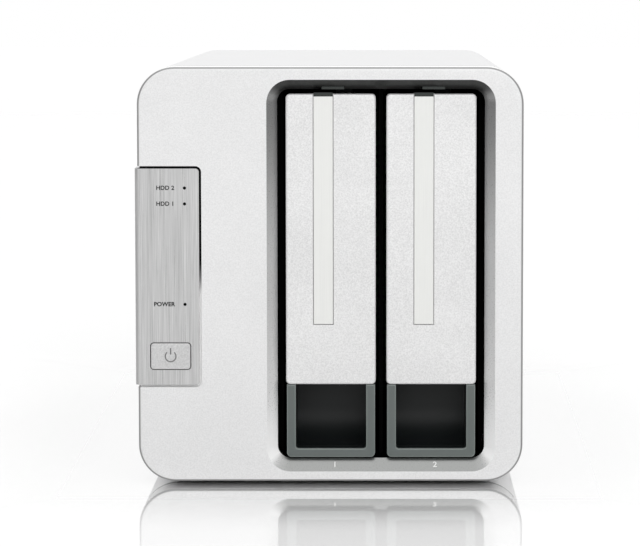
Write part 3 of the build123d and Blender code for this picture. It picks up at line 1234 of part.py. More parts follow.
def build_tray_pieces(bay):
    """Write every piece of one tray, from its lever to the disk that it carries."""
    middle = tray_x(bay)
    channel_x = middle + STRIP_OFFSET_X
    strip_limits = (channel_x - STRIP_WIDTH / 2, channel_x + STRIP_WIDTH / 2)
    left = disk_left(bay)
    right = left + DISK_THICKNESS
    screw_x = left + DISK_HOLE_RISE

    save(build_tray_frame(bay), f"tray_{bay}_frame")
    save(build_lever(bay), f"tray_{bay}_lever")

    with BuildPart() as inlay:
        block(
            strip_limits,
            (STRIP_BED - STRIP_THICKNESS, STRIP_BED),
            (TRAY_TOP - STRIP_LENGTH, TRAY_TOP - CATCH_OVERLAP),
        )
    save(inlay, f"tray_{bay}_inlay_strip")

    with BuildPart() as catch:
        block(
            strip_limits,
            (TRAY_FACE + CATCH_SETBACK, STRIP_BED),
            (TRAY_TOP - CATCH_OVERLAP, TRAY_TOP + CATCH_RISE),
        )
    save(catch, f"tray_{bay}_catch_tab")

    with BuildPart() as pin:
        pin_end = TRAY_WIDTH / 2 - PIN_SKIN - 2 * PIN_CLEARANCE
        rod_along_x(PIVOT_Y, PIVOT_Z, PIN_RADIUS, (middle - pin_end, middle + pin_end))
    save(pin, f"tray_{bay}_lever_pin")

    with BuildPart() as grip:
        grip_mid = TRAY_BOTTOM + GRIP_HEIGHT / 2
        grip_width = TRAY_WIDTH - 2 * GRIP_INSET
        with BuildSketch(facing_front(middle, TRAY_FACE + GRIP_INSET, grip_mid)):
            Rectangle(grip_width, GRIP_HEIGHT)
            with Locations((0, GRIP_FLOOR)):
                Rectangle(grip_width - 2 * GRIP_SIDE, GRIP_HEIGHT, mode=Mode.SUBTRACT)
        extrude(amount=-(FRAME_FACE - TRAY_FACE - GRIP_INSET))
        uprights = grip.edges().filter_by(Axis.Y)
        outer = uprights.filter_by_position(Axis.Z, TRAY_BOTTOM - 0.01, TRAY_BOTTOM + 0.01)
        fillet(outer, GRIP_OUTER_RADIUS)
        uprights = grip.edges().filter_by(Axis.Y)
        inner = uprights.filter_by_position(Axis.Z, SCOOP_FLOOR - 0.01, SCOOP_FLOOR + 0.01)
        fillet(inner, GRIP_INNER_RADIUS)
    save(grip, f"tray_{bay}_grip_frame")

    disk_mid_y = (DISK_FRONT + DISK_REAR) / 2
    disk_mid_z = (DISK_BOTTOM + DISK_TOP) / 2
    chamber_mid_y = DISK_FRONT + CHAMBER_SETBACK + CHAMBER_SIZE[0] / 2
    hole_depth = DISK_SCREW_BITE + 1.0
    with BuildPart() as disk_base:
        with BuildSketch(facing_right(left + DISK_BOARD_RECESS, disk_mid_y, disk_mid_z)):
            RectangleRounded(DISK_LENGTH, DISK_WIDTH, DISK_CORNER)
        extrude(amount=DISK_THICKNESS - DISK_BOARD_RECESS - DISK_COVER)
        block(
            (left + DISK_BOARD_RECESS, left + SOCKET_RIGHT + SOCKET_SIDE_GAP),
            (DISK_REAR - SOCKET_POCKET, DISK_REAR),
            (SOCKET_BOTTOM - SOCKET_GAP, SOCKET_BOTTOM + SOCKET_HEIGHT + SOCKET_GAP),
            Mode.SUBTRACT,
        )
        with BuildSketch(facing_right(right - DISK_COVER, chamber_mid_y, disk_mid_z)):
            RectangleRounded(*CHAMBER_SIZE, CHAMBER_RADIUS)
        extrude(amount=-CHAMBER_DEPTH, mode=Mode.SUBTRACT)
        for hole_y in DISK_HOLES_Y:
            for low, high in ((DISK_BOTTOM, DISK_BOTTOM + hole_depth), (DISK_TOP - hole_depth, DISK_TOP)):
                rod_along_z(screw_x, hole_y, DISK_SCREW_RADIUS + SCREW_GAP, (low, high), Mode.SUBTRACT)
    save(disk_base, f"tray_{bay}_disk_base")

    with BuildPart() as disk_cover:
        with BuildSketch(facing_right(right - DISK_COVER, disk_mid_y, disk_mid_z)):
            RectangleRounded(DISK_LENGTH - 2 * COVER_INSET, DISK_WIDTH - 2 * COVER_INSET, DISK_CORNER)
        extrude(amount=DISK_COVER)
    save(disk_cover, f"tray_{bay}_disk_cover")

    with BuildPart() as disk_board:
        block(
            (left + DISK_BOARD_RECESS - DISK_BOARD, left + DISK_BOARD_RECESS),
            (DISK_REAR - DISK_BOARD_LENGTH, DISK_REAR - DISK_BOARD_SETBACK),
            (DISK_BOTTOM + DISK_BOARD_RISE, DISK_BOTTOM + DISK_BOARD_RISE + DISK_BOARD_HEIGHT),
        )
        block(
            (left + DISK_BOARD_RECESS, left + BLADE_RIGHT),
            (DISK_REAR - SOCKET_POCKET, DISK_REAR - BLADE_REACH),
            (SOCKET_BOTTOM, SOCKET_BOTTOM + SOCKET_HEIGHT),
        )
        block(
            (left + BLADE_LEFT, left + BLADE_RIGHT),
            (DISK_REAR - BLADE_REACH, DISK_REAR - BLADE_SETBACK),
            (SOCKET_BOTTOM + BLADE_INSET, SOCKET_BOTTOM + SOCKET_HEIGHT - BLADE_INSET),
        )
    save(disk_board, f"tray_{bay}_disk_board")

    with BuildPart() as disk_screws:
        for hole_y in DISK_HOLES_Y:
            head_top = FRAME_BOTTOM + DISK_SCREW_SINK
            seat = DISK_TOP + DISK_SCREW_SEAT
            rod_along_z(screw_x, hole_y, DISK_SCREW_HEAD, (head_top - DISK_HEAD_HEIGHT, head_top))
            rod_along_z(screw_x, hole_y, DISK_SCREW_RADIUS, (head_top, DISK_BOTTOM + DISK_SCREW_BITE))
            rod_along_z(screw_x, hole_y, DISK_SCREW_HEAD, (seat, seat + DISK_HEAD_HEIGHT))
            rod_along_z(screw_x, hole_y, DISK_SCREW_RADIUS, (DISK_TOP - DISK_SCREW_BITE, seat))
    save(disk_screws, f"tray_{bay}_disk_screws")


for bay in BAYS:
    build_tray_pieces(bay)
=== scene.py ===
"""Looks of a two-bay network storage box: finishes, printed marks, small hardware and the studio."""

import logging
import math
from dataclasses import dataclass, field
from enum import Enum
from typing import Callable

import bmesh
import bpy
from mathutils import Matrix, Vector


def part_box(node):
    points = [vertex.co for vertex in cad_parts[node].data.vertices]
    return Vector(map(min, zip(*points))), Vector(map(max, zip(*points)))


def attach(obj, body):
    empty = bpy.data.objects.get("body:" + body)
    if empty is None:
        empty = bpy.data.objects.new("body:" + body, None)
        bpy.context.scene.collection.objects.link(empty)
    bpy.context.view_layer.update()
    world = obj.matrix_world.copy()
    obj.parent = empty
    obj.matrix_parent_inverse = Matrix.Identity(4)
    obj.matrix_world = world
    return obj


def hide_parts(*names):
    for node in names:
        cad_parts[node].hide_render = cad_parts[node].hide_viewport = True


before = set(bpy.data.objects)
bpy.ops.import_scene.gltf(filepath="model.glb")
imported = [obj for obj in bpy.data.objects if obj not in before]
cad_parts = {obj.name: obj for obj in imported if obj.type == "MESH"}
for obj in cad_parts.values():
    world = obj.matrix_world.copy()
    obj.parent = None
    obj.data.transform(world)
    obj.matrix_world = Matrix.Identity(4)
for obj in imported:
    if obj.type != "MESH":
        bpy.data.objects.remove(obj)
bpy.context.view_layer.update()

log = logging.getLogger("storage_box")
MM = 0.001
Point = tuple[float, float, float]
Colour = tuple[float, float, float]
Outline = list[tuple[float, float, float]]
Zone = tuple[bpy.types.Material, Callable | None]

TINY = 0.02 * MM
CLOUDS_TO_GRAIN = 60.0
STREAKS_TO_LINES = 7.0
FINE_SHARE, COARSE_SHARE = 0.8, 0.2
# Where the groove's painted highlight ends and its painted shade starts, as shares of the panel's height.
GROOVE_HIGHLIGHT_END, GROOVE_SHADE_START = 0.4, 0.58
CORNER_STEPS = 8
CAPITAL_SHARE = 0.72
LETTER_SPACING = 1.05
PRINT_THICKNESS = 0.008 * MM
PRINT_LIFT = 0.006 * MM


# ---------------------------------------------------------------- shader helpers
class Graph:
    """One material's node tree, with short ways to add and join its nodes."""

    def __init__(self, name: str) -> None:
        """Start a material with an empty Principled shader.

        Args:
            name: The material's name.
        """
        self.material = bpy.data.materials.new(name)
        self.material.use_nodes = True
        self.tree = self.material.node_tree
        self.tree.nodes.clear()
        self.output = self.add("ShaderNodeOutputMaterial")
        self.shader = self.add("ShaderNodeBsdfPrincipled")
        self.join(self.shader.outputs["BSDF"], self.output.inputs["Surface"])
        coordinates = self.add("ShaderNodeTexCoord")
        self.place, self.normal = coordinates.outputs["Object"], coordinates.outputs["Normal"]

    def add(self, kind: str, **settings: object) -> bpy.types.Node:
        """Add a node and set its properties.

        Args:
            kind: The node's type name.
            settings: Properties of the node and their values.

        Returns:
            The new node.
        """
        node = self.tree.nodes.new(kind)
        for key, value in settings.items():
            setattr(node, key, value)
        return node

    def join(self, start: bpy.types.NodeSocket, end: bpy.types.NodeSocket) -> None:
        """Link two sockets."""
        self.tree.links.new(start, end)

    def stretched(self, scale: Point) -> bpy.types.NodeSocket:
        """Object coordinates multiplied by a scale for each axis.

        Args:
            scale: Factors along x, y and z.

        Returns:
            The scaled coordinates.
        """
        mapping = self.add("ShaderNodeMapping")
        mapping.inputs["Scale"].default_value = scale
        self.join(self.place, mapping.inputs["Vector"])
        return mapping.outputs["Vector"]

    def noise(self, grain: float, detail: float = 2.0,
              place: bpy.types.NodeSocket | None = None) -> bpy.types.NodeSocket:
        """A noise value whose features are about as large as the grain.

        Args:
            grain: Size of a feature in metres.
            detail: Number of octaves.
            place: Coordinates to read, or None for the object's own.

        Returns:
            The noise value, from 0 to 1.
        """
        node = self.add("ShaderNodeTexNoise")
        node.inputs["Scale"].default_value = 1.0 / grain
        node.inputs["Detail"].default_value = detail
        node.inputs["Roughness"].default_value = 0.6
        self.join(place or self.place, node.inputs["Vector"])
        return node.outputs["Fac"]

    def ramp(self, value: bpy.types.NodeSocket, low: float, high: float) -> bpy.types.NodeSocket:
        """Spread a value of about 0.3 to 0.7 over a range.

        Args:
            value: The value to spread.
            low: Result where the value is low.
            high: Result where the value is high.

        Returns:
            The spread value.
        """
        node = self.add("ShaderNodeMapRange")
        node.inputs["From Min"].default_value = 0.3
        node.inputs["From Max"].default_value = 0.7
        node.inputs["To Min"].default_value = low
        node.inputs["To Max"].default_value = high
        self.join(value, node.inputs["Value"])
        return node.outputs["Result"]

    def blend(self, factor: bpy.types.NodeSocket, low: object, high: object) -> bpy.types.NodeSocket:
        """Mix two colours, each a colour or a socket.

        Args:
            factor: 0 gives the low colour and 1 the high colour.
            low: The first colour.
            high: The second colour.

        Returns:
            The mixed colour.
        """
        node = self.add("ShaderNodeMix", data_type="RGBA")
        self.join(factor, node.inputs["Factor"])
        for name, colour in (("A", low), ("B", high)):
            socket = next(s for s in node.inputs if s.name == name and s.type == "RGBA")
            if isinstance(colour, bpy.types.NodeSocket):
                self.join(colour, socket)
            else:
                socket.default_value = (*colour, 1.0)
        return next(s for s in node.outputs if s.type == "RGBA")

    def compute(self, operation: str, first: object, second: object) -> bpy.types.NodeSocket:
        """One step of arithmetic on sockets or numbers.

        Args:
            operation: The Math node's operation.
            first: A socket or a number.
            second: A socket or a number.

        Returns:
            The result.
        """
        node = self.add("ShaderNodeMath", operation=operation)
        for index, value in enumerate((first, second)):
            if isinstance(value, bpy.types.NodeSocket):
                self.join(value, node.inputs[index])
            else:
                node.inputs[index].default_value = value
        return node.outputs["Value"]

    def layered(self, fine: bpy.types.NodeSocket, coarse: bpy.types.NodeSocket) -> bpy.types.NodeSocket:
        """Mostly a fine pattern, with a little of a coarse one."""
        return self.compute("ADD", self.compute("MULTIPLY", fine, FINE_SHARE),
                            self.compute("MULTIPLY", coarse, COARSE_SHARE))

    def axis(self, name: str, vector: bpy.types.NodeSocket | None = None) -> bpy.types.NodeSocket:
        """One part, X, Y or Z, of a vector, which is the place on the object unless another is given."""
        split = self.add("ShaderNodeSeparateXYZ")
        self.join(vector or self.place, split.inputs["Vector"])
        return split.outputs[name]

    def between(self, value: bpy.types.NodeSocket, start: float, end: float) -> bpy.types.NodeSocket:
        """A soft step from 0 at the start to 1 at the end.

        Args:
            value: The value that is looked at.
            start: Where the result is 0.
            end: Where the result is 1.

        Returns:
            The step.
        """
        node = self.add("ShaderNodeMapRange", interpolation_type="SMOOTHSTEP")
        node.inputs["From Min"].default_value = start
        node.inputs["From Max"].default_value = end
        self.join(value, node.inputs["Value"])
        return node.outputs["Result"]

    def relief(self, height: bpy.types.NodeSocket, depth: float) -> None:
        """Bump the surface.

        Args:
            height: The height pattern, from 0 to 1.
            depth: The pattern's depth in metres.
        """
        bump = self.add("ShaderNodeBump")
        bump.inputs["Strength"].default_value = 1.0
        bump.inputs["Distance"].default_value = depth
        self.join(height, bump.inputs["Height"])
        self.join(bump.outputs["Normal"], self.shader.inputs["Normal"])

    def settle(self, **values: float) -> None:
        """Set constant inputs of the shader; underscores stand for spaces."""
        for key, value in values.items():
            self.shader.inputs[key.replace("_", " ")].default_value = value

    def colour(self, socket: bpy.types.NodeSocket) -> None:
        """Use a socket as the surface's colour."""
        self.join(socket, self.shader.inputs["Base Color"])

    def roughness(self, socket: bpy.types.NodeSocket) -> None:
        """Use a socket as the surface's roughness."""
        self.join(socket, self.shader.inputs["Roughness"])


def tint(colour: Colour, factor: float) -> Colour:
    """A colour made lighter or darker by a factor."""
    return tuple(min(1.0, channel * factor) for channel in colour)


# ---------------------------------------------------------------- finishes
@dataclass(frozen=True)
class GrainFinish:
    """A surface with a fine, even grain, such as metallic paint; grain and depth are in millimetres."""

    name: str
    base: Colour
    grain: float
    contrast: float
    rough: float
    rough_spread: float
    depth: float
    metal: float = 0.0
    gloss: float = 0.5

    def make(self) -> bpy.types.Material:
        """Build the material."""
        graph = Graph(self.name)
        fine = graph.noise(self.grain * MM, 3.0)
        clouds = graph.noise(self.grain * MM * CLOUDS_TO_GRAIN, 2.0)
        light, dark = tint(self.base, 1.0 + self.contrast), tint(self.base, 1.0 - self.contrast)
        both = graph.layered(fine, clouds)
        graph.colour(self.shade(graph, graph.blend(graph.ramp(both, 0.0, 1.0), dark, light)))
        graph.roughness(graph.ramp(fine, self.rough - self.rough_spread, self.rough + self.rough_spread))
        graph.relief(fine, self.depth * MM)
        graph.settle(Metallic=self.metal, Specular_IOR_Level=self.gloss)
        return graph.material

    def shade(self, graph: Graph, grained: bpy.types.NodeSocket) -> bpy.types.NodeSocket:
        """The colour once any shading of edges is laid over the grain."""
        return grained


@dataclass(frozen=True)
class SeamFinish(GrainFinish):
    """A grained surface with a narrow painted shadow line behind its front edge; seam and width in
    millimetres.
    """

    seam: float = 0.0
    width: float = 1.0
    core: float = 0.7
    shadow: float = 0.12

    def shade(self, graph: Graph, grained: bpy.types.NodeSocket) -> bpy.types.NodeSocket:
        """Paint the seam's shadow as a darker band in the grain beside it."""
        start, width = self.seam * MM, self.width * MM
        seam_shadow = graph.between(graph.axis("Y"), start + width, start + self.core * width)
        return graph.blend(seam_shadow, grained, tint(self.base, self.shadow))


@dataclass(frozen=True)
class RimFinish(GrainFinish):
    """A grained surface with a painted shadow line along its rounded front edge and a painted highlight on
    the top behind it.

    Each pair of numbers is a range of one part of the surface's direction.
    """

    line_start: tuple[float, float] = (-0.95, -0.86)
    line_end: tuple[float, float] = (-0.3, -0.5)
    behind_line: tuple[float, float] = (-0.5, -0.35)
    facing_up: tuple[float, float] = (0.3, 0.6)
    shadow: float = 0.4
    glow: float = 1.3

    def shade(self, graph: Graph, grained: bpy.types.NodeSocket) -> bpy.types.NodeSocket:
        """Paint a shadow line in the middle of the rounding and a highlight on the top behind it."""
        # Painted shade: a darker line across the middle of the rounding; painted highlight: a lighter colour
        # on the top faces behind it.
        ahead = graph.axis("Y", graph.normal)
        line = graph.compute("MULTIPLY", graph.between(ahead, *self.line_start),
                             graph.between(ahead, *self.line_end))
        above = graph.compute("MULTIPLY", graph.between(ahead, *self.behind_line),
                              graph.between(graph.axis("Z", graph.normal), *self.facing_up))
        shade_lined = graph.blend(line, grained, tint(self.base, self.shadow))
        return graph.blend(above, shade_lined, tint(self.base, self.glow))


@dataclass(frozen=True)
class BrushedFinish:
    """Metal brushed in one direction; the depth of the brushing is in millimetres."""

    name: str
    base: Colour
    stretch: Point
    contrast: float
    rough: float
    metal: float
    depth: float
    rough_spread: float = 0.08

    def make(self) -> bpy.types.Material:
        """Build the material."""
        graph = Graph(self.name)
        lines = graph.noise(1.0, 4.0, graph.stretched(self.stretch))
        streaks = graph.stretched(tuple(value / STREAKS_TO_LINES for value in self.stretch))
        both = graph.layered(lines, graph.noise(1.0, 2.0, streaks))
        graph.colour(graph.blend(graph.ramp(both, 0.0, 1.0), tint(self.base, 1.0 - self.contrast),
                                 tint(self.base, 1.0 + self.contrast)))
        graph.roughness(graph.ramp(lines, self.rough - self.rough_spread, self.rough + self.rough_spread))
        graph.relief(lines, self.depth * MM)
        graph.settle(Metallic=self.metal, Anisotropic=0.4)
        return graph.material


@dataclass(frozen=True)
class TrimFinish:
    """Surround trim whose colour carries painted reflection and shade: sides near white at the foot and
    darker upwards, near black where it faces down and grey where it faces up.
    """

    name: str
    low: float
    high: float
    sides: tuple[float, float, float]
    ceiling: Colour
    sill: Colour
    rough: float = 0.3
    rough_spread: float = 0.04
    facing_down: tuple[float, float] = (-0.15, -0.6)
    facing_up: tuple[float, float] = (0.3, 0.66)
    dull_share: float = 0.3

    def make(self) -> bpy.types.Material:
        """Build the material."""
        graph = Graph(self.name)
        # Painted reflection and shade: the sides graded by height, then near black on faces that look down
        # and grey on faces that look up.
        foot, middle, head = ((grey, grey, grey) for grey in self.sides)
        mid = (self.low + self.high) / 2.0
        lower = graph.blend(graph.between(graph.axis("Z"), self.low, mid), foot, middle)
        sides = graph.blend(graph.between(graph.axis("Z"), mid, self.high), lower, head)
        tilt = graph.axis("Z", graph.normal)
        shade = graph.blend(graph.between(tilt, *self.facing_down), sides, self.ceiling)
        sill = graph.between(tilt, *self.facing_up)
        graph.colour(graph.blend(sill, shade, self.sill))
        fine = graph.noise(0.3 * MM, 3.0)
        graph.roughness(graph.ramp(fine, self.rough - self.rough_spread, self.rough + self.rough_spread))
        graph.relief(fine, 0.004 * MM)
        raised = graph.between(graph.axis("Z"), self.low, self.low + self.dull_share * (self.high - self.low))
        graph.join(graph.compute("MAXIMUM", raised, sill), graph.shader.inputs["Metallic"])
        return graph.material


@dataclass(frozen=True)
class EdgeFinish:
    """Cut edge of a panel, with painted shade above and a painted highlight below."""

    name: str
    low: float
    high: float
    bright: Colour
    dark: Colour

    def make(self) -> bpy.types.Material:
        """Build the material."""
        graph = Graph(self.name)
        # Painted highlight below and painted shade above, blended by height.
        rise = graph.between(graph.axis("Z"), self.low, self.high)
        graph.colour(graph.blend(rise, self.bright, self.dark))
        graph.roughness(graph.ramp(graph.noise(0.2 * MM), 0.4, 0.5))
        graph.settle(Specular_IOR_Level=0.1)
        return graph.material


def groove_finish(foot: float, head: float) -> EdgeFinish:
    """Finish of the groove round a panel: a painted highlight low down and painted shade above.

    Args:
        foot: Height of the panel's lower end.
        head: Height of the panel's upper end.

    Returns:
        The finish.
    """
    tall = head - foot
    return EdgeFinish("panel_edge_painted_light", foot + GROOVE_HIGHLIGHT_END * tall, foot + GROOVE_SHADE_START * tall,
                      (0.97, 0.97, 0.97), (0.002, 0.002, 0.002))


@dataclass(frozen=True)
class CircuitFinish:
    """Solder mask over copper tracks."""

    name: str
    mask: Colour
    track: Colour
    cell: float = 2.2 * MM
    track_edge: float = 0.62

    def make(self) -> bpy.types.Material:
        """Build the material."""
        graph = Graph(self.name)
        cells = graph.add("ShaderNodeTexVoronoi", distance="MANHATTAN", feature="F1")
        cells.inputs["Scale"].default_value = 1.0 / self.cell
        graph.join(graph.place, cells.inputs["Vector"])
        lines = graph.compute("GREATER_THAN", cells.outputs["Distance"], self.track_edge)
        graph.colour(graph.blend(lines, self.mask, self.track))
        fine = graph.noise(0.4 * MM)
        graph.roughness(graph.ramp(fine, 0.3, 0.45))
        graph.relief(lines, 0.03 * MM)
        return graph.material


@dataclass(frozen=True)
class FloorFinish:
    """White floor, polished round the box and dull further out."""

    name: str
    base: Colour
    rough: float
    polish: float
    half_size: tuple[float, float]
    reach: float

    def make(self) -> bpy.types.Material:
        """Build the material."""
        graph = Graph(self.name)
        clouds = graph.noise(0.3, 2.0)
        graph.colour(graph.blend(graph.ramp(clouds, 0.0, 1.0), tint(self.base, 0.995), self.base))
        beyond = [graph.compute("SUBTRACT", graph.compute("ABSOLUTE", graph.axis(name), 0.0), half)
                  for name, half in zip("XY", self.half_size)]
        away = graph.between(graph.compute("MAXIMUM", *beyond), 0.0, self.reach)
        polish = graph.compute("MULTIPLY", graph.compute("SUBTRACT", 1.0, away), self.polish)
        graph.join(polish, graph.shader.inputs["Metallic"])
        graph.roughness(graph.ramp(graph.noise(0.05), self.rough * 0.9, self.rough * 1.1))
        graph.settle(Specular_IOR_Level=0.2)
        return graph.material


class Dress(Enum):
    """Every finish of the box and its parts."""

    PAINT = GrainFinish("silver_paint", (0.775, 0.775, 0.777), 0.42, 0.1, 0.42, 0.06, 0.02, metal=0.25)
    LEVER = GrainFinish("lever_paint", (0.76, 0.76, 0.76), 0.42, 0.17, 0.42, 0.06, 0.025, metal=0.25)
    # The rim's finish paints a shadow line on the rounded edge and a highlight on the top behind it.
    RIM = RimFinish("silver_rim", (0.775, 0.775, 0.777), 0.42, 0.05, 0.42, 0.06, 0.02, metal=0.25)
    # The sleeve carries a painted shadow line behind its seam with the bezel.
    SLEEVE = SeamFinish("satin_sleeve", (0.78, 0.78, 0.785), 0.25, 0.03, 0.38, 0.05, 0.01,
                        metal=0.45, seam=-101.1)
    BUTTON = GrainFinish("button_paint", (0.585, 0.585, 0.585), 0.45, 0.18, 0.4, 0.06, 0.02, metal=0.3)
    STRIP = BrushedFinish("brushed_strip", (0.53, 0.53, 0.53), (5200.0, 5200.0, 50.0), 0.3, 0.34,
                          0.75, 0.012)
    INLAY = BrushedFinish("brushed_inlay", (0.80, 0.805, 0.785), (5200.0, 5200.0, 40.0), 0.04, 0.4,
                          0.35, 0.006)
    SMOKED = GrainFinish("smoked_grip", (0.115, 0.132, 0.127), 0.2, 0.06, 0.36, 0.05, 0.006, gloss=0.4)
    # A lighter copy of the smoke that paints the highlight on the grip's edges.
    SMOKED_EDGE = GrainFinish("smoked_edge_highlight", (0.17, 0.195, 0.185), 0.2, 0.05, 0.3, 0.05, 0.004, gloss=0.6)
    CATCH = GrainFinish("catch_moulding", (0.03, 0.035, 0.033), 0.2, 0.1, 0.4, 0.05, 0.006, gloss=0.3)
    BLACK = GrainFinish("black_moulding", (0.008, 0.01, 0.0105), 0.3, 0.2, 0.44, 0.06, 0.01, gloss=0.28)
    # Near black that paints the shade deep in gaps, holes and the bay's tunnel.
    GAP = GrainFinish("painted_gap_shade", (0.0015, 0.0015, 0.0015), 0.3, 0.2, 0.8, 0.05, 0.004, gloss=0.0)
    NATURAL = GrainFinish("natural_plastic", (0.72, 0.71, 0.66), 0.3, 0.03, 0.5, 0.05, 0.01)
    BLACK_STEEL = GrainFinish("black_powder_coat", (0.016, 0.016, 0.017), 0.5, 0.25, 0.55, 0.08, 0.03)
    CAGE = GrainFinish("blackened_cage", (0.003, 0.003, 0.003), 0.5, 0.2, 0.7, 0.08, 0.01, gloss=0.05)
    ZINC = GrainFinish("zinc_plate", (0.58, 0.57, 0.54), 0.35, 0.08, 0.32, 0.08, 0.008, metal=0.95)
    NICKEL = GrainFinish("nickel_plate", (0.66, 0.65, 0.62), 0.6, 0.05, 0.24, 0.06, 0.006, metal=1.0)
    GOLD = GrainFinish("gold_contact", (0.80, 0.58, 0.22), 0.3, 0.06, 0.25, 0.06, 0.004, metal=1.0)
    CAST = GrainFinish("die_cast", (0.40, 0.41, 0.42), 0.6, 0.1, 0.5, 0.1, 0.04, metal=0.8)
    COVER = BrushedFinish("disk_cover_steel", (0.62, 0.63, 0.64), (300.0, 40.0, 3000.0), 0.05, 0.33,
                          0.9, 0.006)
    LABEL = GrainFinish("blank_label", (0.80, 0.80, 0.78), 0.5, 0.02, 0.5, 0.05, 0.004)
    RUBBER = GrainFinish("foot_rubber", (0.02, 0.02, 0.02), 0.35, 0.2, 0.75, 0.08, 0.03)
    LAMP = GrainFinish("dark_lamp_window", (0.002, 0.002, 0.002), 0.2, 0.2, 0.4, 0.05, 0.002, gloss=0.05)
    CHIP = GrainFinish("chip_epoxy", (0.018, 0.018, 0.02), 0.25, 0.2, 0.6, 0.08, 0.01)
    CIRCUIT = CircuitFinish("circuit_board", (0.012, 0.11, 0.045), (0.05, 0.24, 0.09))
    INK = GrainFinish("dark_print", (0.008, 0.008, 0.008), 0.15, 0.25, 0.6, 0.05, 0.002, gloss=0.1)
    # Dark grey that paints the shade of the embossed power symbol's strokes.
    EMBOSS = GrainFinish("embossed_mark_shade", (0.2, 0.2, 0.2), 0.15, 0.1, 0.35, 0.05, 0.002, metal=0.5)
    PALE_INK = GrainFinish("pale_print", (0.78, 0.78, 0.77), 0.15, 0.02, 0.5, 0.05, 0.002)
    FLOOR = FloorFinish("studio_floor", (0.97, 0.97, 0.97), 0.03, 0.8, (0.0595, 0.1135), 0.076)


class Wardrobe:
    """Makes each finish once and puts it on pieces."""

    def __init__(self) -> None:
        """Start with nothing made."""
        self.made: dict[Dress, bpy.types.Material] = {}

    def material(self, dress: Dress) -> bpy.types.Material:
        """The material of a finish, built when it is first asked for.

        Args:
            dress: The finish.

        Returns:
            Its material.
        """
        if dress not in self.made:
            self.made[dress] = dress.value.make()
        return self.made[dress]

    def put(self, piece: bpy.types.Object, material: bpy.types.Material) -> None:
        """Give a piece one material all over."""
        piece.data.materials.clear()
        piece.data.materials.append(material)

    def dress_node(self, node: str, dress: Dress) -> None:
        """Dress a CAD node.

        Args:
            node: The node's name.
            dress: Its finish.
        """
        self.put(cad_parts[node], self.material(dress))
        log.info("dressed %s in %s", node, dress.value.name)


WARDROBE = Wardrobe()


# ---------------------------------------------------------------- geometry helpers
def limits(node: str) -> tuple[Vector, Vector]:
    """Lowest and highest corners of a CAD node at rest.

    Args:
        node: The node's name.

    Returns:
        The two corners.
    """
    low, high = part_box(node)
    return Vector(low), Vector(high)


def add_piece(name: str, mesh: bpy.types.Mesh, body: str, dress: Dress) -> bpy.types.Object:
    """Show a finished mesh as a piece that rides on a body.

    Args:
        name: The piece's name.
        mesh: Its mesh, in place.
        body: The body that it rides on.
        dress: Its finish.

    Returns:
        The new object.
    """
    mesh.name = name
    piece = bpy.data.objects.new(name, mesh)
    bpy.context.collection.objects.link(piece)
    if not any(mesh.materials):
        WARDROBE.put(piece, WARDROBE.material(dress))
    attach(piece, body)
    log.info("made %s on %s", name, body)
    return piece


def tidy_mesh(mesh: bpy.types.Mesh, smooth_angle: float | None = 35.0) -> bpy.types.Mesh:
    """Merge doubles, turn the faces outwards and smooth what is nearly flat.

    Args:
        mesh: The mesh to clean.
        smooth_angle: Largest angle in degrees that is shaded smooth, or None for flat faces.

    Returns:
        The same mesh.
    """
    shape = bmesh.new()
    shape.from_mesh(mesh)
    bmesh.ops.remove_doubles(shape, verts=shape.verts, dist=0.002 * MM)
    bmesh.ops.dissolve_degenerate(shape, edges=shape.edges, dist=0.001 * MM)
    bmesh.ops.recalc_face_normals(shape, faces=shape.faces)
    if smooth_angle is not None:
        for face in shape.faces:
            face.smooth = True
        for edge in shape.edges:
            edge.smooth = edge.is_manifold and edge.calc_face_angle(math.pi) < math.radians(smooth_angle)
    shape.to_mesh(mesh)
    shape.free()
    return mesh


def holder_of(name: str, data: bpy.types.ID) -> bpy.types.Object:
    """An object in the scene that holds a curve, mesh, lamp or camera."""
    holder = bpy.data.objects.new(name, data)
    bpy.context.collection.objects.link(holder)
    return holder


def draw_stroke(curve: bpy.types.Curve, points: list) -> bpy.types.Spline:
    """Add straight runs through some points to a curve.

    Args:
        curve: The curve to draw in.
        points: The places that the runs go through.

    Returns:
        The new spline.
    """
    spline = curve.splines.new("POLY")
    spline.points.add(len(points) - 1)
    for knot, point in zip(spline.points, points):
        knot.co = (*point, 1.0)
    return spline


def mesh_of(thing: bpy.types.Object) -> bpy.types.Mesh:
    """A plain mesh of an object as it is evaluated, after which the object is removed.

    Args:
        thing: A curve, text or mesh object, with or without modifiers.

    Returns:
        The new mesh.
    """
    graph = bpy.context.evaluated_depsgraph_get()
    mesh = bpy.data.meshes.new_from_object(thing.evaluated_get(graph), depsgraph=graph)
    bpy.data.objects.remove(thing, do_unlink=True)
    return mesh


def zoned_copy(node: str, body: str, zones: list[Zone]) -> bpy.types.Object:
    """Stand in for a CAD node with a copy whose faces have different finishes.

    Args:
        node: The node to stand in for.
        body: The body that it rides on.
        zones: Finishes, each with a test of a face's centre and normal; the first has none and is the rest.

    Returns:
        The copy.
    """
    mesh = tidy_mesh(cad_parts[node].data.copy(), 30.0)
    mesh.materials.clear()
    for material, _ in zones:
        mesh.materials.append(material)
    for face in mesh.polygons:
        face.material_index = 0
        for index, (_, test) in enumerate(zones[1:], 1):
            if test(face.center, face.normal):
                face.material_index = index
                break
    piece = add_piece(f"{node}_finished", mesh, body, Dress.PAINT)
    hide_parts(node)
    return piece


def facing_front(place: Vector) -> Matrix:
    """Matrix that stands a flat drawing up at a place, facing the front."""
    return Matrix.Translation(place) @ Matrix.Rotation(math.radians(90.0), 4, "X")


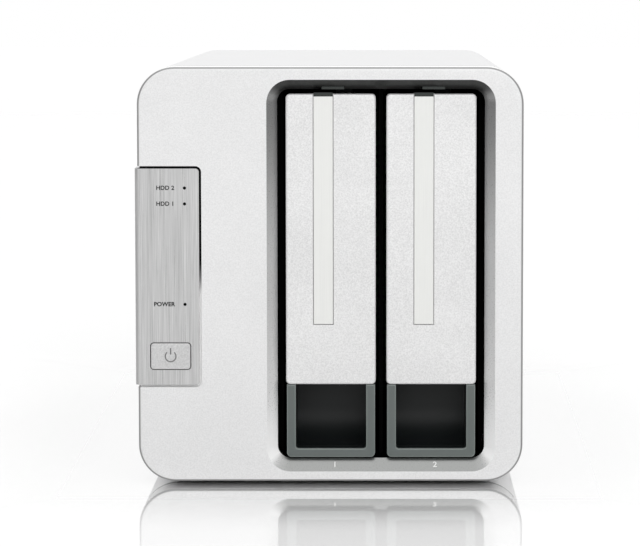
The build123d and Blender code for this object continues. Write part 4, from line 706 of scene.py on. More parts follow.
def rounded_corner(before: Vector, corner: Vector, after: Vector, radius: float) -> list[Vector]:
    """Points of the arc that rounds one corner of an outline.

    Args:
        before: The previous corner.
        corner: The corner to round.
        after: The next corner.
        radius: The arc's radius.

    Returns:
        The arc's points, or the corner itself where the radius is zero.
    """
    if radius <= 0.0:
        return [corner]
    towards, away = (before - corner).normalized(), (after - corner).normalized()
    half = towards.angle(away) / 2.0
    reach = radius / math.tan(half)
    centre = corner + (towards + away).normalized() * (radius / math.sin(half))
    start, end = corner + towards * reach - centre, corner + away * reach - centre
    points = []
    for step in range(CORNER_STEPS + 1):
        share = step / CORNER_STEPS
        points.append(centre + (start * (1.0 - share) + end * share).normalized() * radius)
    return points


def plate(outline: Outline, thickness: float, bevel: float) -> bpy.types.Mesh:
    """A flat plate with rounded edges, drawn in x and y with its thickness about z = 0.

    Args:
        outline: The closed outline's corners as (x, y, radius).
        thickness: The plate's thickness.
        bevel: Radius of its edges.

    Returns:
        The plate's mesh.
    """
    curve = bpy.data.curves.new("plate", "CURVE")
    curve.dimensions, curve.fill_mode = "2D", "BOTH"
    curve.extrude, curve.bevel_depth = thickness / 2.0 - bevel, bevel
    curve.bevel_resolution, curve.offset = 3, -bevel
    corners = [Vector((x, y, 0.0)) for x, y, _ in outline]
    points = []
    for index, (_, _, radius) in enumerate(outline):
        after = corners[(index + 1) % len(corners)]
        points += rounded_corner(corners[index - 1], corners[index], after, radius)
    draw_stroke(curve, points).use_cyclic_u = True
    return tidy_mesh(mesh_of(holder_of("plate", curve)), 50.0)


def rounded_rectangle(width: float, height: float, radius: float) -> Outline:
    """Outline of a rectangle with rounded corners, about the origin.

    Args:
        width: Size along x.
        height: Size along y.
        radius: Corner radius.

    Returns:
        Its corners as (x, y, radius), counter-clockwise.
    """
    return [(sx * width / 2, sy * height / 2, radius) for sx, sy in ((-1, -1), (1, -1), (1, 1), (-1, 1))]


@dataclass(frozen=True)
class Print:
    """A short generic mark printed on a face."""

    text: str
    height: float
    weight: float
    align: str = "RIGHT"

    def flat_mesh(self) -> bpy.types.Mesh:
        """The lettering's mesh, a hair thick and lying flat about its anchor."""
        curve = bpy.data.curves.new("print", "FONT")
        curve.body, curve.size = self.text, self.height / CAPITAL_SHARE
        curve.align_x, curve.align_y = self.align, "CENTER"
        curve.extrude, curve.offset = PRINT_THICKNESS, self.weight
        curve.space_character = LETTER_SPACING
        return tidy_mesh(mesh_of(holder_of("print", curve)), None)

    def mesh(self, place: Vector) -> bpy.types.Mesh:
        """The lettering's mesh, standing at a place on a face that looks to the front."""
        mesh = self.flat_mesh()
        mesh.transform(facing_front(place))
        return mesh


# ---------------------------------------------------------------- repeated hardware by geometry nodes
class Tree:
    """A geometry node tree with short ways to add nodes and inputs."""

    def __init__(self, name: str) -> None:
        """Start an empty tree with a geometry input and output.

        Args:
            name: The tree's name.
        """
        self.group = bpy.data.node_groups.new(name, "GeometryNodeTree")
        self.group.interface.new_socket("Geometry", in_out="INPUT", socket_type="NodeSocketGeometry")
        self.group.interface.new_socket("Geometry", in_out="OUTPUT", socket_type="NodeSocketGeometry")
        self.identifiers: dict[str, str] = {}
        self.source = self.group.nodes.new("NodeGroupInput")
        self.sink = self.group.nodes.new("NodeGroupOutput")

    def size(self, name: str) -> bpy.types.NodeSocket:
        """Add a named size to the tree's inputs.

        Args:
            name: The input's name.

        Returns:
            The socket that carries it.
        """
        socket = self.group.interface.new_socket(name, in_out="INPUT", socket_type="NodeSocketFloat")
        self.identifiers[name] = socket.identifier
        return next(s for s in self.source.outputs if s.identifier == socket.identifier)

    def node(self, kind: str, **links: object) -> bpy.types.Node:
        """Add a node; each link names an input and gives a socket or a value.

        Args:
            kind: The node's type name.
            links: Inputs by name, with underscores for spaces, or properties of the node.

        Returns:
            The new node.
        """
        made = self.group.nodes.new(kind)
        for key, value in links.items():
            name = key.replace("_", " ")
            if hasattr(made, key) and not isinstance(value, bpy.types.NodeSocket) and name not in made.inputs:
                setattr(made, key, value)
            elif isinstance(value, bpy.types.NodeSocket):
                self.group.links.new(value, made.inputs[name])
            else:
                made.inputs[name].default_value = value
        return made

    def scaled(self, socket: bpy.types.NodeSocket, factor: float, shift: float = 0.0) -> bpy.types.NodeSocket:
        """A size times a factor plus a shift."""
        step = self.group.nodes.new("ShaderNodeMath")
        step.operation = "MULTIPLY_ADD"
        self.group.links.new(socket, step.inputs[0])
        step.inputs[1].default_value, step.inputs[2].default_value = factor, shift
        return step.outputs[0]

    def raised(self, shape: bpy.types.Node, rise: bpy.types.NodeSocket) -> bpy.types.NodeSocket:
        """A shape moved along z."""
        moved = self.node("GeometryNodeTransform", Geometry=shape.outputs[0], Translation=self.vector(z=rise))
        return moved.outputs[0]

    def repeat(self, shape: bpy.types.Node, material: bpy.types.Material) -> None:
        """End the tree with the shape at every point.

        Args:
            shape: The node that makes the shape.
            material: The shape's material.
        """
        spread = self.node("GeometryNodeInstanceOnPoints", Points=self.source.outputs[0],
                           Instance=shape.outputs[0])
        self.finish(spread.outputs[0], material)

    def vector(self, x: object = 0.0, y: object = 0.0, z: object = 0.0) -> bpy.types.NodeSocket:
        """A vector made of three sockets or numbers."""
        return self.node("ShaderNodeCombineXYZ", X=x, Y=y, Z=z).outputs[0]

    def finish(self, geometry: bpy.types.NodeSocket, material: bpy.types.Material) -> None:
        """End the tree with real geometry and its material.

        Args:
            geometry: What the tree makes.
            material: The material to set.
        """
        real = self.node("GeometryNodeRealizeInstances", Geometry=geometry)
        dressed = self.node("GeometryNodeSetMaterial", Geometry=real.outputs[0], Material=material)
        self.group.links.new(dressed.outputs[0], self.sink.inputs[0])


def run_tree(tree: Tree, points: list[Vector], sizes: dict[str, float]) -> bpy.types.Mesh:
    """Run a tree on a cloud of points and return the plain mesh that it makes.

    Args:
        tree: The tree.
        points: Where the repeated shapes go.
        sizes: Values of the tree's named inputs.

    Returns:
        The mesh.
    """
    cloud = bpy.data.meshes.new("points")
    cloud.from_pydata([tuple(point) for point in points], [], [])
    holder = holder_of("points", cloud)
    modifier = holder.modifiers.new("tree", "NODES")
    modifier.node_group = tree.group
    for name, value in sizes.items():
        modifier[tree.identifiers[name]] = value
    return mesh_of(holder)


def screw_tree(material: bpy.types.Material) -> Tree:
    """Cross-recessed pan-head screws: the head stands up along +Z from each point and the shank goes down.

    Args:
        material: The screws' material.

    Returns:
        The tree, with inputs for the head, the shank and the recess.
    """
    tree = Tree("cross_screws")
    radius, height = tree.size("Head radius"), tree.size("Head height")
    shank, length, recess = tree.size("Shank radius"), tree.size("Shank length"), tree.size("Recess width")
    skirt_share, crown_share, cross_length, cross_rise, sunk = 0.45, 0.72, 1.25, 0.95, 0.2 * MM
    skirt = tree.node("GeometryNodeMeshCylinder", Vertices=40, Radius=radius,
                      Depth=tree.scaled(height, skirt_share))
    crown = tree.node("GeometryNodeMeshCone", Vertices=40, Radius_Top=tree.scaled(radius, crown_share),
                      Radius_Bottom=radius, Depth=tree.scaled(height, 1.0 - skirt_share))
    stem = tree.node("GeometryNodeMeshCylinder", Vertices=24, Radius=shank, Depth=length)
    head = tree.node("GeometryNodeMeshBoolean", operation="UNION")
    for shape, rise in ((skirt, tree.scaled(height, skirt_share / 2)),
                        (crown, tree.scaled(height, skirt_share)),
                        (stem, tree.scaled(length, -0.5, sunk))):
        tree.group.links.new(tree.raised(shape, rise), head.inputs["Mesh 2"])
    cross = tree.node("GeometryNodeMeshBoolean", operation="DIFFERENCE")
    tree.group.links.new(head.outputs[0], cross.inputs["Mesh 1"])
    arm = tree.scaled(radius, cross_length)
    for width, depth in ((arm, recess), (recess, arm)):
        bar = tree.node("GeometryNodeMeshCube", Size=tree.vector(width, depth, height))
        tree.group.links.new(tree.raised(bar, tree.scaled(height, cross_rise)), cross.inputs["Mesh 2"])
    tree.repeat(cross, material)
    return tree


def contact_tree(material: bpy.types.Material) -> Tree:
    """Small flat contacts, one at each point.

    Args:
        material: The contacts' material.

    Returns:
        The tree, with inputs for the contact's three sizes.
    """
    tree = Tree("contacts")
    size = tree.vector(tree.size("Thickness"), tree.size("Length"), tree.size("Width"))
    tree.repeat(tree.node("GeometryNodeMeshCube", Size=size), material)
    return tree


def turned(points: list[Vector], turn: Matrix) -> list[Vector]:
    """Points turned back, so that turning the finished mesh puts them in place again."""
    back = turn.inverted()
    return [back @ point for point in points]


def screws(points: list[Vector], turn: Matrix, dress: Dress, sizes: dict[str, float]) -> bpy.types.Mesh:
    """A set of screws at given places.

    Args:
        points: The seats of their heads.
        turn: Rotation that takes +Z to the way the heads face.
        dress: The screws' finish.
        sizes: Values of the screw tree's inputs.

    Returns:
        Their mesh, in place.
    """
    mesh = run_tree(screw_tree(WARDROBE.material(dress)), turned(points, turn), sizes)
    mesh.transform(turn)
    return tidy_mesh(mesh, 28.0)


FACES_BACK = Matrix.Rotation(math.radians(-90.0), 4, "X")
FACES_DOWN = Matrix.Rotation(math.radians(180.0), 4, "X")
FACES_RIGHT = Matrix.Rotation(math.radians(90.0), 4, "Y")


# ---------------------------------------------------------------- the box's sub-assemblies
@dataclass
class Housing:
    """Sleeve, bezel, feet and the screws under the box."""

    opening_side: float = 2.65 * MM
    opening_top: float = 1.5 * MM
    opening_foot: float = 0.4 * MM
    surround_side: float = 3.2 * MM
    surround_top: float = 2.9 * MM
    surround_foot: float = 3.8 * MM
    surround_depth: float = 3.0 * MM
    bezel_depth: float = 12.0 * MM
    panel_groove: float = 0.75 * MM
    numeral_height: float = 1.9 * MM
    numeral_shift: float = 1.2 * MM
    groove_reach: float = 1.0 * MM
    catch_size: tuple[float, float] = (7.0 * MM, 0.9 * MM)
    catch_corner: float = 0.15 * MM
    catch_thickness: float = 0.5 * MM
    catch_bevel: float = 0.08 * MM
    catch_place: Point = (0.7 * MM, 2.3 * MM, 0.35 * MM)
    # Painted reflection and shade of the surround trim: greys of the sides from foot to head, then the
    # colours of the downward and upward faces.
    trim_sides: tuple[float, float, float] = (0.97, 0.7, 0.3)
    trim_ceiling: Colour = (0.055, 0.056, 0.055)
    trim_sill: Colour = (0.27, 0.275, 0.27)
    screw_head: float = 2.8 * MM
    screw_seat: float = 1.2 * MM
    front: float = 0.0

    def build(self) -> None:
        """Dress the housing and add its printed numerals and screws."""
        low, _ = limits("front_bezel")
        self.front = low.y
        WARDROBE.dress_node("outer_shell", Dress.SLEEVE)
        WARDROBE.dress_node("rubber_feet", Dress.RUBBER)
        self.finish_bezel()
        self.print_numerals()
        self.fit_catch_bars()
        self.fit_base_screws()

    def opening(self) -> tuple[float, float, float, float]:
        """Left, right, foot and head of the bay opening."""
        first, _ = limits("tray_1_grip_frame")
        left, _ = limits("tray_1_lever")
        _, right = limits("tray_2_lever")
        return (left.x - self.opening_side, right.x + self.opening_side, first.z - self.opening_foot,
                right.z + self.opening_top)

    def finish_bezel(self) -> None:
        """Give the bezel its paint and its painted light and shade: painted reflection and shade on the
        surround, painted shade in the tunnel and on the tongue, a painted highlight and shade in the panel's
        groove, and a painted shadow line and highlight on the rim.
        """
        left, right, foot, head = self.opening()
        panel_low, panel_high = limits("control_strip")
        low, high = limits("front_bezel")
        middle = (low + high) / 2

        def in_surround(centre: Vector) -> bool:
            """Whether a face lies within the surround's outline."""
            return (left - self.surround_side - TINY < centre.x < right + self.surround_side + TINY
                    and foot - self.surround_foot - TINY < centre.z < head + self.surround_top + TINY)

        def in_tunnel(centre: Vector, normal: Vector) -> bool:
            """Whether a face lies behind the surround or in a notch of its lip."""
            return in_surround(centre) and (centre.y > self.front + self.surround_depth - TINY
                                            or (abs(normal.y) < 0.1 and centre.y > self.front + 0.5 * MM))

        def is_trim(centre: Vector, normal: Vector) -> bool:
            """Whether a face belongs to the surround's slope."""
            return in_surround(centre) and centre.y > self.front + TINY and abs(normal.y) < 0.97

        def is_groove(centre: Vector, normal: Vector) -> bool:
            """Whether a face lies in the panel's groove."""
            spare = self.panel_groove + TINY
            within = centre.x < panel_high.x + spare and panel_low.z - spare < centre.z < panel_high.z + spare
            deep = self.front + TINY < centre.y < panel_high.y + self.groove_reach
            return within and deep and normal.z < 0.5

        def is_tongue(centre: Vector, normal: Vector) -> bool:
            """Whether a face belongs to the tongue inside the sleeve."""
            return centre.y > self.front + self.bezel_depth - TINY

        def is_rim(centre: Vector, normal: Vector) -> bool:
            """Whether a face belongs to the bezel's rounded outline."""
            outward = (centre.x - middle.x) * normal.x + (centre.z - middle.z) * normal.z
            return centre.y > self.front + TINY and outward > 0.1 * abs(centre.x - middle.x) * abs(normal.x)

        trim = TrimFinish("surround_trim", foot, head, self.trim_sides, self.trim_ceiling, self.trim_sill)
        gap = WARDROBE.material(Dress.GAP)
        groove = groove_finish(panel_low.z, panel_high.z).make()
        # Every zone after the first paints light or shade: near black in the tunnel and on the tongue,
        # reflection and shade on the trim, highlight and shade in the groove, shadow line and highlight on
        # the rim.
        zones = [(WARDROBE.material(Dress.PAINT), None), (gap, in_tunnel), (trim.make(), is_trim),
                 (groove, is_groove), (gap, is_tongue), (WARDROBE.material(Dress.RIM), is_rim)]
        zoned_copy("front_bezel", "chassis", zones)

    def print_numerals(self) -> None:
        """Print each bay's number on the slope below its tray."""
        _, _, foot, _ = self.opening()
        lean = math.atan2(self.surround_foot, self.surround_depth)
        for bay in (1, 2):
            low, high = limits(f"tray_{bay}_grip_frame")
            slope = Vector(((low.x + high.x) / 2 + self.numeral_shift,
                            self.front + self.surround_depth / 2, foot - self.surround_foot / 2))
            mesh = Print(str(bay), self.numeral_height, 0.05 * MM, "CENTER").flat_mesh()
            mesh.transform(Matrix.Translation(slope) @ Matrix.Rotation(lean, 4, "X"))
            add_piece(f"bay_numeral_{bay}", mesh, "chassis", Dress.PALE_INK)

    def fit_catch_bars(self) -> None:
        """Lay the small catch bar in each notch of the top lip."""
        _, _, _, head = self.opening()
        for bay in (1, 2):
            low, high = limits(f"tray_{bay}_lever")
            shift, depth, rise = self.catch_place
            middle = Vector(((low.x + high.x) / 2 + shift, self.front + depth, head + rise))
            outline = rounded_rectangle(*self.catch_size, self.catch_corner)
            mesh = plate(outline, self.catch_thickness, self.catch_bevel)
            mesh.transform(facing_front(middle))
            add_piece(f"catch_bar_{bay}", mesh, "chassis", Dress.CATCH)

    def fit_base_screws(self) -> None:
        """Replace the plain cage screws under the box by ones with a cross recess."""
        low, high = limits("cage_screws")
        head, seat = self.screw_head, low.z + self.screw_seat
        places = [Vector((x, y, seat)) for x in (low.x + head, high.x - head)
                  for y in (low.y + head, high.y - head)]
        sizes = {"Head radius": head, "Head height": 1.15 * MM, "Shank radius": 1.45 * MM,
                 "Shank length": high.z - low.z - 1.3 * MM, "Recess width": 0.75 * MM}
        mesh = screws(places, FACES_DOWN, Dress.ZINC, sizes)
        piece = add_piece("cage_cross_screws", mesh, "chassis", Dress.ZINC)
        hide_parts("cage_screws")


@dataclass
class ControlPanel:
    """Brushed strip with its lamps, printed names and power button."""

    print_height: float = 1.3 * MM
    print_end: float = 3.15 * MM
    lamp_names: tuple[tuple[str, float], ...] = (
        ("POWER", 0.06 * MM), ("HDD 1", 0.05 * MM), ("HDD 2", 0.05 * MM))
    end_lamp_inset: float = 1.1 * MM
    middle_lamp_inset: float = 6.0 * MM
    thickness: float = 1.5 * MM
    edge_band: float = 1.2 * MM
    wrap_band: float = 2.0 * MM
    button_flange: float = 1.2 * MM
    symbol_radius: float = 1.65 * MM
    symbol_stroke: float = 0.2 * MM
    symbol_gap: float = 42.0
    symbol_bar: tuple[float, float] = (0.35, 1.55)
    symbol_steps: int = 36
    symbol_flatness: float = 0.6

    def build(self) -> None:
        """Dress the panel's nodes, print its names and raise the power symbol."""
        for node, dress in (("power_button", Dress.BUTTON), ("light_pipes", Dress.LAMP),
                            ("indicator_leds", Dress.NATURAL), ("power_switch", Dress.BLACK),
                            ("switch_plunger", Dress.BLACK)):
            WARDROBE.dress_node(node, dress)
        self.finish_strip()
        self.print_names()
        self.raise_symbol()

    def finish_strip(self) -> None:
        """Give the strip its brushed face, a painted highlight and painted shade on its outer edges and
        painted shade in its holes.
        """
        low, high = limits("control_strip")
        rim = self.edge_band

        def is_side(centre: Vector, normal: Vector) -> bool:
            """Whether a face is one of the cut sides of the strip's front."""
            ahead = centre.y < low.y + self.thickness
            return abs(normal.y) < 0.3 and ahead and centre.x > low.x + self.wrap_band

        def is_edge(centre: Vector, normal: Vector) -> bool:
            """Whether a face is an outer side that looks right or up."""
            outer = centre.x > high.x - rim or centre.z > high.z - rim
            return is_side(centre, normal) and outer and (normal.x > 0.2 or normal.z > 0.2)

        def is_hole(centre: Vector, normal: Vector) -> bool:
            """Whether a face lines a hole."""
            inner = centre.x < high.x - rim and low.z + rim < centre.z < high.z - rim
            return inner and is_side(centre, normal)

        # The outer edges get a painted highlight below and painted shade above; the holes get painted shade.
        edge = groove_finish(low.z, high.z)
        zones = [(WARDROBE.material(Dress.STRIP), None), (edge.make(), is_edge),
                 (WARDROBE.material(Dress.GAP), is_hole)]
        zoned_copy("control_strip", "chassis", zones)

    def print_names(self) -> None:
        """Print a name beside each lamp."""
        low, high = limits("light_pipes")
        face, _ = limits("control_strip")
        lamp_x = (low.x + high.x) / 2
        heights = (low.z + self.end_lamp_inset, high.z - self.middle_lamp_inset, high.z - self.end_lamp_inset)
        for number, ((name, weight), height) in enumerate(zip(self.lamp_names, heights), 1):
            place = Vector((lamp_x - self.print_end, face.y - PRINT_LIFT, height))
            mesh = Print(name, self.print_height, weight).mesh(place)
            add_piece(f"lamp_name_{number}", mesh, "chassis", Dress.INK)

    def raise_symbol(self) -> None:
        """Raise an arc with an upright bar in its gap on the button, in a dark grey that paints the shade of
        the raised strokes.
        """
        low, high = limits("power_button")
        cap_right = high.x - self.button_flange
        middle = Vector(((low.x + cap_right) / 2, low.y, (low.z + high.z) / 2))
        curve = bpy.data.curves.new("symbol", "CURVE")
        curve.dimensions, curve.bevel_depth, curve.bevel_resolution = "3D", self.symbol_stroke, 3
        curve.use_fill_caps = True
        start, end = math.radians(90.0 + self.symbol_gap), math.radians(450.0 - self.symbol_gap)
        arc = [start + (end - start) * step / self.symbol_steps for step in range(self.symbol_steps + 1)]
        radius = self.symbol_radius
        strokes = [
            [(math.cos(angle) * radius, math.sin(angle) * radius, 0.0) for angle in arc],
            [(0.0, radius * share, 0.0) for share in self.symbol_bar],
        ]
        for stroke in strokes:
            draw_stroke(curve, stroke)
        mesh = mesh_of(holder_of("symbol", curve))
        mesh.transform(facing_front(middle) @ Matrix.Diagonal((1.0, 1.0, self.symbol_flatness, 1.0)))
        add_piece("power_symbol", tidy_mesh(mesh, 60.0), "power_button", Dress.EMBOSS)


@dataclass
class DriveTray:
    """One tray: lever, inlay, grip, frame and the disk that it carries."""

    number: int
    grip_side: float = 2.8 * MM
    grip_floor: float = 2.7 * MM
    grip_outer: float = 1.4 * MM
    grip_inner: float = 0.9 * MM
    grip_bevel: float = 0.35 * MM
    grip_plate: float = 1.4 * MM
    grip_slack: float = 0.05 * MM
    label_size: tuple[float, float] = (86.0 * MM, 58.0 * MM)
    label_corner: float = 3.0 * MM
    label_thickness: float = 0.12 * MM
    label_forward: float = 12.0 * MM
    cover_screw_inset: float = 5.0 * MM
    disk_screw_head: float = 2.9 * MM
    disk_screw_seat: float = 1.2 * MM

    def node(self, part: str) -> str:
        """Full name of one of the tray's nodes."""
        return f"tray_{self.number}_{part}"

    def build(self) -> None:
        """Dress the tray's nodes and add its modelled pieces."""
        for part, dress in (("frame", Dress.BLACK), ("lever", Dress.LEVER), ("inlay_strip", Dress.INLAY),
                            ("catch_tab", Dress.CATCH), ("lever_pin", Dress.ZINC), ("disk_base", Dress.CAST),
                            ("disk_cover", Dress.COVER), ("disk_board", Dress.CIRCUIT)):
            WARDROBE.dress_node(self.node(part), dress)
        self.shape_grip()
        self.finish_disk()
        self.fit_disk_screws()

    def shape_grip(self) -> None:
        """Model the smoked U-shaped grip with rounded edges in a lighter painted highlight, and the black
        moulding behind it.
        """
        low, high = limits(self.node("grip_frame"))
        half, tall = (high.x - low.x) / 2, high.z - low.z
        middle = (low.x + high.x) / 2
        back = low.y + self.grip_plate
        body = f"tray_{self.number}"
        mesh = plate(self.grip_outline(half, tall, 0.0), self.grip_plate, self.grip_bevel)
        mesh.transform(facing_front(Vector((middle, low.y + self.grip_plate / 2, low.z))))
        mesh.materials.clear()
        for dress in (Dress.SMOKED, Dress.SMOKED_EDGE):
            mesh.materials.append(WARDROBE.material(dress))
        # Faces off the flat front get the lighter copy of the smoke: a painted highlight on the edges.
        for face in mesh.polygons:
            face.material_index = int(abs(face.normal.y) < 0.995)
        grip = add_piece(self.node("grip"), mesh, body, Dress.SMOKED)
        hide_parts(self.node("grip_frame"))
        slack = self.grip_slack
        liner = plate(self.grip_outline(half - slack, tall, slack), high.y - back, slack)
        liner.transform(facing_front(Vector((middle, (back + high.y) / 2, low.z + slack))))
        add_piece(self.node("grip_liner"), liner, body, Dress.BLACK)

    def grip_outline(self, half: float, tall: float, inset: float) -> Outline:
        """Outline of the U, from its lower left corner.

        Args:
            half: Half of its width.
            tall: Its height.
            inset: How much its arms and floor are thinned.

        Returns:
            Its corners as (x, y, radius).
        """
        inner, floor = half - self.grip_side + inset, self.grip_floor - 2 * inset
        top = tall - inset
        return [(-half, 0.0, self.grip_outer), (half, 0.0, self.grip_outer), (half, top, 0.0),
                (inner, top, 0.0), (inner, floor, self.grip_inner), (-inner, floor, self.grip_inner),
                (-inner, top, 0.0), (-half, top, 0.0)]

    def finish_disk(self) -> None:
        """Add a blank label and the cover's screws to the disk."""
        low, high = limits(self.node("disk_cover"))
        middle_y = (low.y + high.y) / 2
        label = plate(rounded_rectangle(*self.label_size, self.label_corner), self.label_thickness, 0.03 * MM)
        middle = Vector((high.x + self.label_thickness / 2, middle_y - self.label_forward,
                         (low.z + high.z) / 2))
        label.transform(Matrix.Translation(middle) @ FACES_RIGHT)
        add_piece(self.node("disk_label"), label, f"tray_{self.number}", Dress.LABEL)
        inset = self.cover_screw_inset
        front, back, foot, head = low.y + inset, high.y - inset, low.z + inset, high.z - inset
        edges = [(front, head), (back, head), (front, foot), (back, foot), (middle_y, foot), (middle_y, head)]
        sizes = {"Head radius": 2.0 * MM, "Head height": 0.2 * MM, "Shank radius": 1.0 * MM,
                 "Shank length": 0.6 * MM, "Recess width": 0.5 * MM}
        mesh = screws([Vector((high.x, y, z)) for y, z in edges], FACES_RIGHT, Dress.NICKEL, sizes)
        add_piece(self.node("cover_screws"), mesh, f"tray_{self.number}", Dress.NICKEL)

    def fit_disk_screws(self) -> None:
        """Replace the plain disk screws, which go in from below and from above."""
        low, high = limits(self.node("disk_screws"))
        head, seat = self.disk_screw_head, self.disk_screw_seat
        middle = (low.x + high.x) / 2
        sizes = {"Head radius": head, "Head height": 1.1 * MM, "Shank radius": 1.55 * MM,
                 "Shank length": 5.6 * MM, "Recess width": 0.8 * MM}
        meshes = []
        for z, turn in ((low.z + seat, FACES_DOWN), (high.z - seat, Matrix.Identity(4))):
            places = [Vector((middle, y, z)) for y in (low.y + head, high.y - head)]
            meshes.append(screws(places, turn, Dress.ZINC, sizes))
        for name, mesh in zip(("lower", "upper"), meshes):
            piece = add_piece(self.node(f"{name}_screws"), mesh, f"tray_{self.number}",
                              Dress.ZINC)
            if name == "lower":
                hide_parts(self.node("disk_screws"))


@dataclass
class RearSide:
    """Rear panel, its screws, the fan and the sockets."""

    head_height: float = 1.4 * MM
    head_radius: float = 2.8 * MM
    network_pitch: float = 1.02 * MM
    network_inset: float = 1.7 * MM
    network_depth: float = 6.0 * MM
    usb_pitch: float = 2.4 * MM
    usb_inset: float = 3.0 * MM
    usb_depth: float = 6.5 * MM
    usb_middle: float = 7.2 * MM
    sticker_width: float = 27.0 * MM
    sticker_thickness: float = 0.1 * MM

    def build(self) -> None:
        """Dress the rear and model its small hardware."""
        for node, dress in (("rear_panel", Dress.BLACK_STEEL), ("fan_frame", Dress.BLACK),
                            ("fan_rotor", Dress.BLACK), ("ethernet_port", Dress.NICKEL),
                            ("usb_ports", Dress.NICKEL), ("power_jack", Dress.BLACK)):
            WARDROBE.dress_node(node, dress)
        for node in ("rear_panel_screws", "fan_screws"):
            self.fit_screws(node)
        self.fit_contacts()
        self.fit_hub_sticker()

    def fit_screws(self, node: str) -> None:
        """Replace four plain screws by ones with a cross recess.

        Args:
            node: The CAD node that they replace.
        """
        low, high = limits(node)
        seat = high.y - self.head_height
        places = [Vector((x, seat, z)) for x in (low.x + self.head_radius, high.x - self.head_radius)
                  for z in (low.z + self.head_radius, high.z - self.head_radius)]
        sizes = {"Head radius": self.head_radius, "Head height": self.head_height, "Shank radius": 1.45 * MM,
                 "Shank length": seat - low.y, "Recess width": 0.75 * MM}
        mesh = screws(places, FACES_BACK, Dress.BLACK_STEEL, sizes)
        piece = add_piece(f"{node}_cross", mesh, "chassis", Dress.BLACK_STEEL)
        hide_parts(node)

    def fit_contacts(self) -> None:
        """Line up gold contacts in the network and USB sockets."""
        tree = contact_tree(WARDROBE.material(Dress.GOLD))
        low, high = limits("ethernet_port")
        middle = (low.z + high.z) / 2
        row = [Vector((low.x + self.network_inset, high.y - self.network_depth,
                       middle + (step - 3.5) * self.network_pitch)) for step in range(8)]
        mesh = run_tree(tree, row, {"Thickness": 0.3 * MM, "Length": 7.0 * MM, "Width": 0.45 * MM})
        add_piece("ethernet_contacts", tidy_mesh(mesh, None), "chassis", Dress.GOLD)
        low, high = limits("usb_ports")
        points = []
        for middle in (low.z + self.usb_middle, high.z - self.usb_middle):
            points += [Vector((high.x - self.usb_inset, high.y - self.usb_depth,
                               middle + (step - 1.5) * self.usb_pitch)) for step in range(4)]
        mesh = run_tree(tree, points, {"Thickness": 0.22 * MM, "Length": 8.0 * MM, "Width": 1.1 * MM})
        add_piece("usb_contacts", tidy_mesh(mesh, None), "chassis", Dress.GOLD)

    def fit_hub_sticker(self) -> None:
        """Put a plain round sticker on the fan's hub."""
        low, high = limits("fan_rotor")
        width, thickness = self.sticker_width, self.sticker_thickness
        middle = Vector(((low.x + high.x) / 2, high.y + thickness / 2, (low.z + high.z) / 2))
        sticker = plate(rounded_rectangle(width, width, 13.4 * MM), thickness, 0.02 * MM)
        sticker.transform(Matrix.Translation(middle) @ FACES_BACK)
        add_piece("hub_sticker", sticker, "fan_rotor", Dress.LABEL)


@dataclass
class Internals:
    """Everything that the housing hides."""

    finishes: tuple[tuple[Dress, tuple[str, ...]], ...] = (
        (Dress.CAGE, ("cage_floor", "cage_top", "cage_left_wall", "cage_right_wall", "cage_divider")),
        (Dress.BLACK, ("guide_rails", "sata_sockets", "riser_slot", "front_lead", "fan_lead")),
        (Dress.CIRCUIT, ("front_board", "backplane_board", "main_board")),
        (Dress.CHIP, ("processor", "memory_chips")),
        (Dress.SLEEVE, ("processor_heatsink", "capacitors")),
        (Dress.NICKEL, ("board_standoffs",)),
        (Dress.ZINC, ("board_screws", "bezel_screws", "front_board_screws")),
        (Dress.NATURAL, ("lead_plugs",)),
    )

    def build(self) -> None:
        """Dress each hidden node."""
        for dress, nodes in self.finishes:
            for node in nodes:
                WARDROBE.dress_node(node, dress)


# ---------------------------------------------------------------- the studio
@dataclass
class Softbox:
    """A large soft lamp that looks at a point."""

    name: str
    place: Point
    aim: Point
    size: tuple[float, float]
    power: float

    def build(self) -> None:
        """Hang the lamp."""
        lamp = bpy.data.lights.new(self.name, "AREA")
        lamp.shape, lamp.size, lamp.size_y, lamp.energy = "RECTANGLE", *self.size, self.power
        holder = holder_of(self.name, lamp)
        holder.location = self.place
        holder.rotation_euler = (Vector(self.aim) - Vector(self.place)).to_track_quat("-Z", "Y").to_euler()


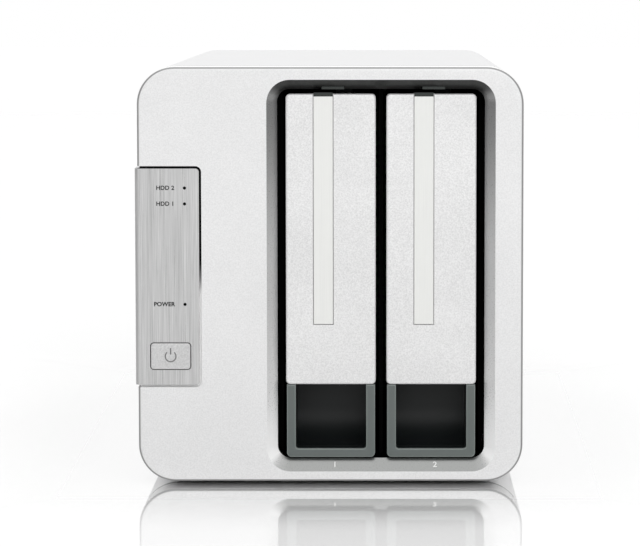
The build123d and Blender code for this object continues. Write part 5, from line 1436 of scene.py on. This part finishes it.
@dataclass
class Studio:
    """Floor, light and camera."""

    camera_place: Point = (0.01553, -0.97199, 0.15427)
    camera_pitch: float = 4.289
    lens: float = 157.34
    shift: tuple[float, float] = (-0.095, -0.12)
    side_light: float = 0.3
    side_fade: tuple[float, float] = (0.5, 0.95)
    overhead: float = 0.5
    overhead_spread: float = 70.0
    floor_half: float = 6.0
    sensor: float = 36.0
    lamps: list[Softbox] = field(default_factory=lambda: [
        Softbox("front_softbox", (0.5, -1.6, 0.9), (0.0, -0.1, 0.08), (1.2, 1.0), 5.5),
    ])

    def build(self) -> None:
        """Set up the floor, the light and the camera."""
        self.lay_floor()
        self.light()
        self.place_camera()
        for lamp in self.lamps:
            lamp.build()

    def lay_floor(self) -> None:
        """Lay a wide pale floor under the feet."""
        half = self.floor_half
        corners = [(-half, -half, 0.0), (half, -half, 0.0), (half, half, 0.0), (-half, half, 0.0)]
        mesh = bpy.data.meshes.new("floor")
        mesh.from_pydata(corners, [], [(0, 1, 2, 3)])
        floor = holder_of("floor", mesh)
        WARDROBE.put(floor, WARDROBE.material(Dress.FLOOR))

    def light(self) -> None:
        """Fill the room with even light, weaker from both sides, and light the floor from overhead."""
        world = bpy.data.worlds.new("studio")
        world.use_nodes = True
        tree = world.node_tree
        background = tree.nodes["Background"]
        background.inputs["Color"].default_value = (1.0, 1.0, 1.0, 1.0)
        split = tree.nodes.new("ShaderNodeSeparateXYZ")
        tree.links.new(tree.nodes.new("ShaderNodeTexCoord").outputs["Generated"], split.inputs["Vector"])
        aside = tree.nodes.new("ShaderNodeMath")
        aside.operation = "ABSOLUTE"
        tree.links.new(split.outputs["X"], aside.inputs[0])
        fade = tree.nodes.new("ShaderNodeMapRange")
        fade.interpolation_type = "SMOOTHSTEP"
        fade.inputs["From Min"].default_value, fade.inputs["From Max"].default_value = self.side_fade
        fade.inputs["To Min"].default_value, fade.inputs["To Max"].default_value = 1.0, self.side_light
        tree.links.new(aside.outputs[0], fade.inputs["Value"])
        seen = tree.nodes.new("ShaderNodeMath")
        seen.operation = "MAXIMUM"
        tree.links.new(fade.outputs["Result"], seen.inputs[0])
        tree.links.new(tree.nodes.new("ShaderNodeLightPath").outputs["Is Camera Ray"], seen.inputs[1])
        tree.links.new(seen.outputs[0], background.inputs["Strength"])
        bpy.context.scene.world = world
        bpy.context.scene.view_settings.view_transform = "Standard"
        overhead = bpy.data.lights.new("overhead", "SUN")
        overhead.energy, overhead.angle = self.overhead, math.radians(self.overhead_spread)
        holder_of("overhead", overhead)

    def place_camera(self) -> None:
        """Stand the camera before the box, a little above its top."""
        lens = bpy.data.cameras.new("camera")
        lens.lens, lens.sensor_width = self.lens, self.sensor
        lens.shift_x, lens.shift_y = self.shift
        lens.clip_start, lens.clip_end = 0.02, 50.0
        camera = holder_of("camera", lens)
        camera.location = self.camera_place
        camera.rotation_euler = (math.radians(90.0 - self.camera_pitch), 0.0, 0.0)
        bpy.context.scene.camera = camera


def main() -> None:
    """Build the studio and every sub-assembly."""
    logging.basicConfig(level=logging.INFO, format="%(name)s: %(message)s")
    Studio().build()
    Housing().build()
    ControlPanel().build()
    for number in (1, 2):
        DriveTray(number).build()
    RearSide().build()
    Internals().build()


if __name__ == "__main__":
    main()
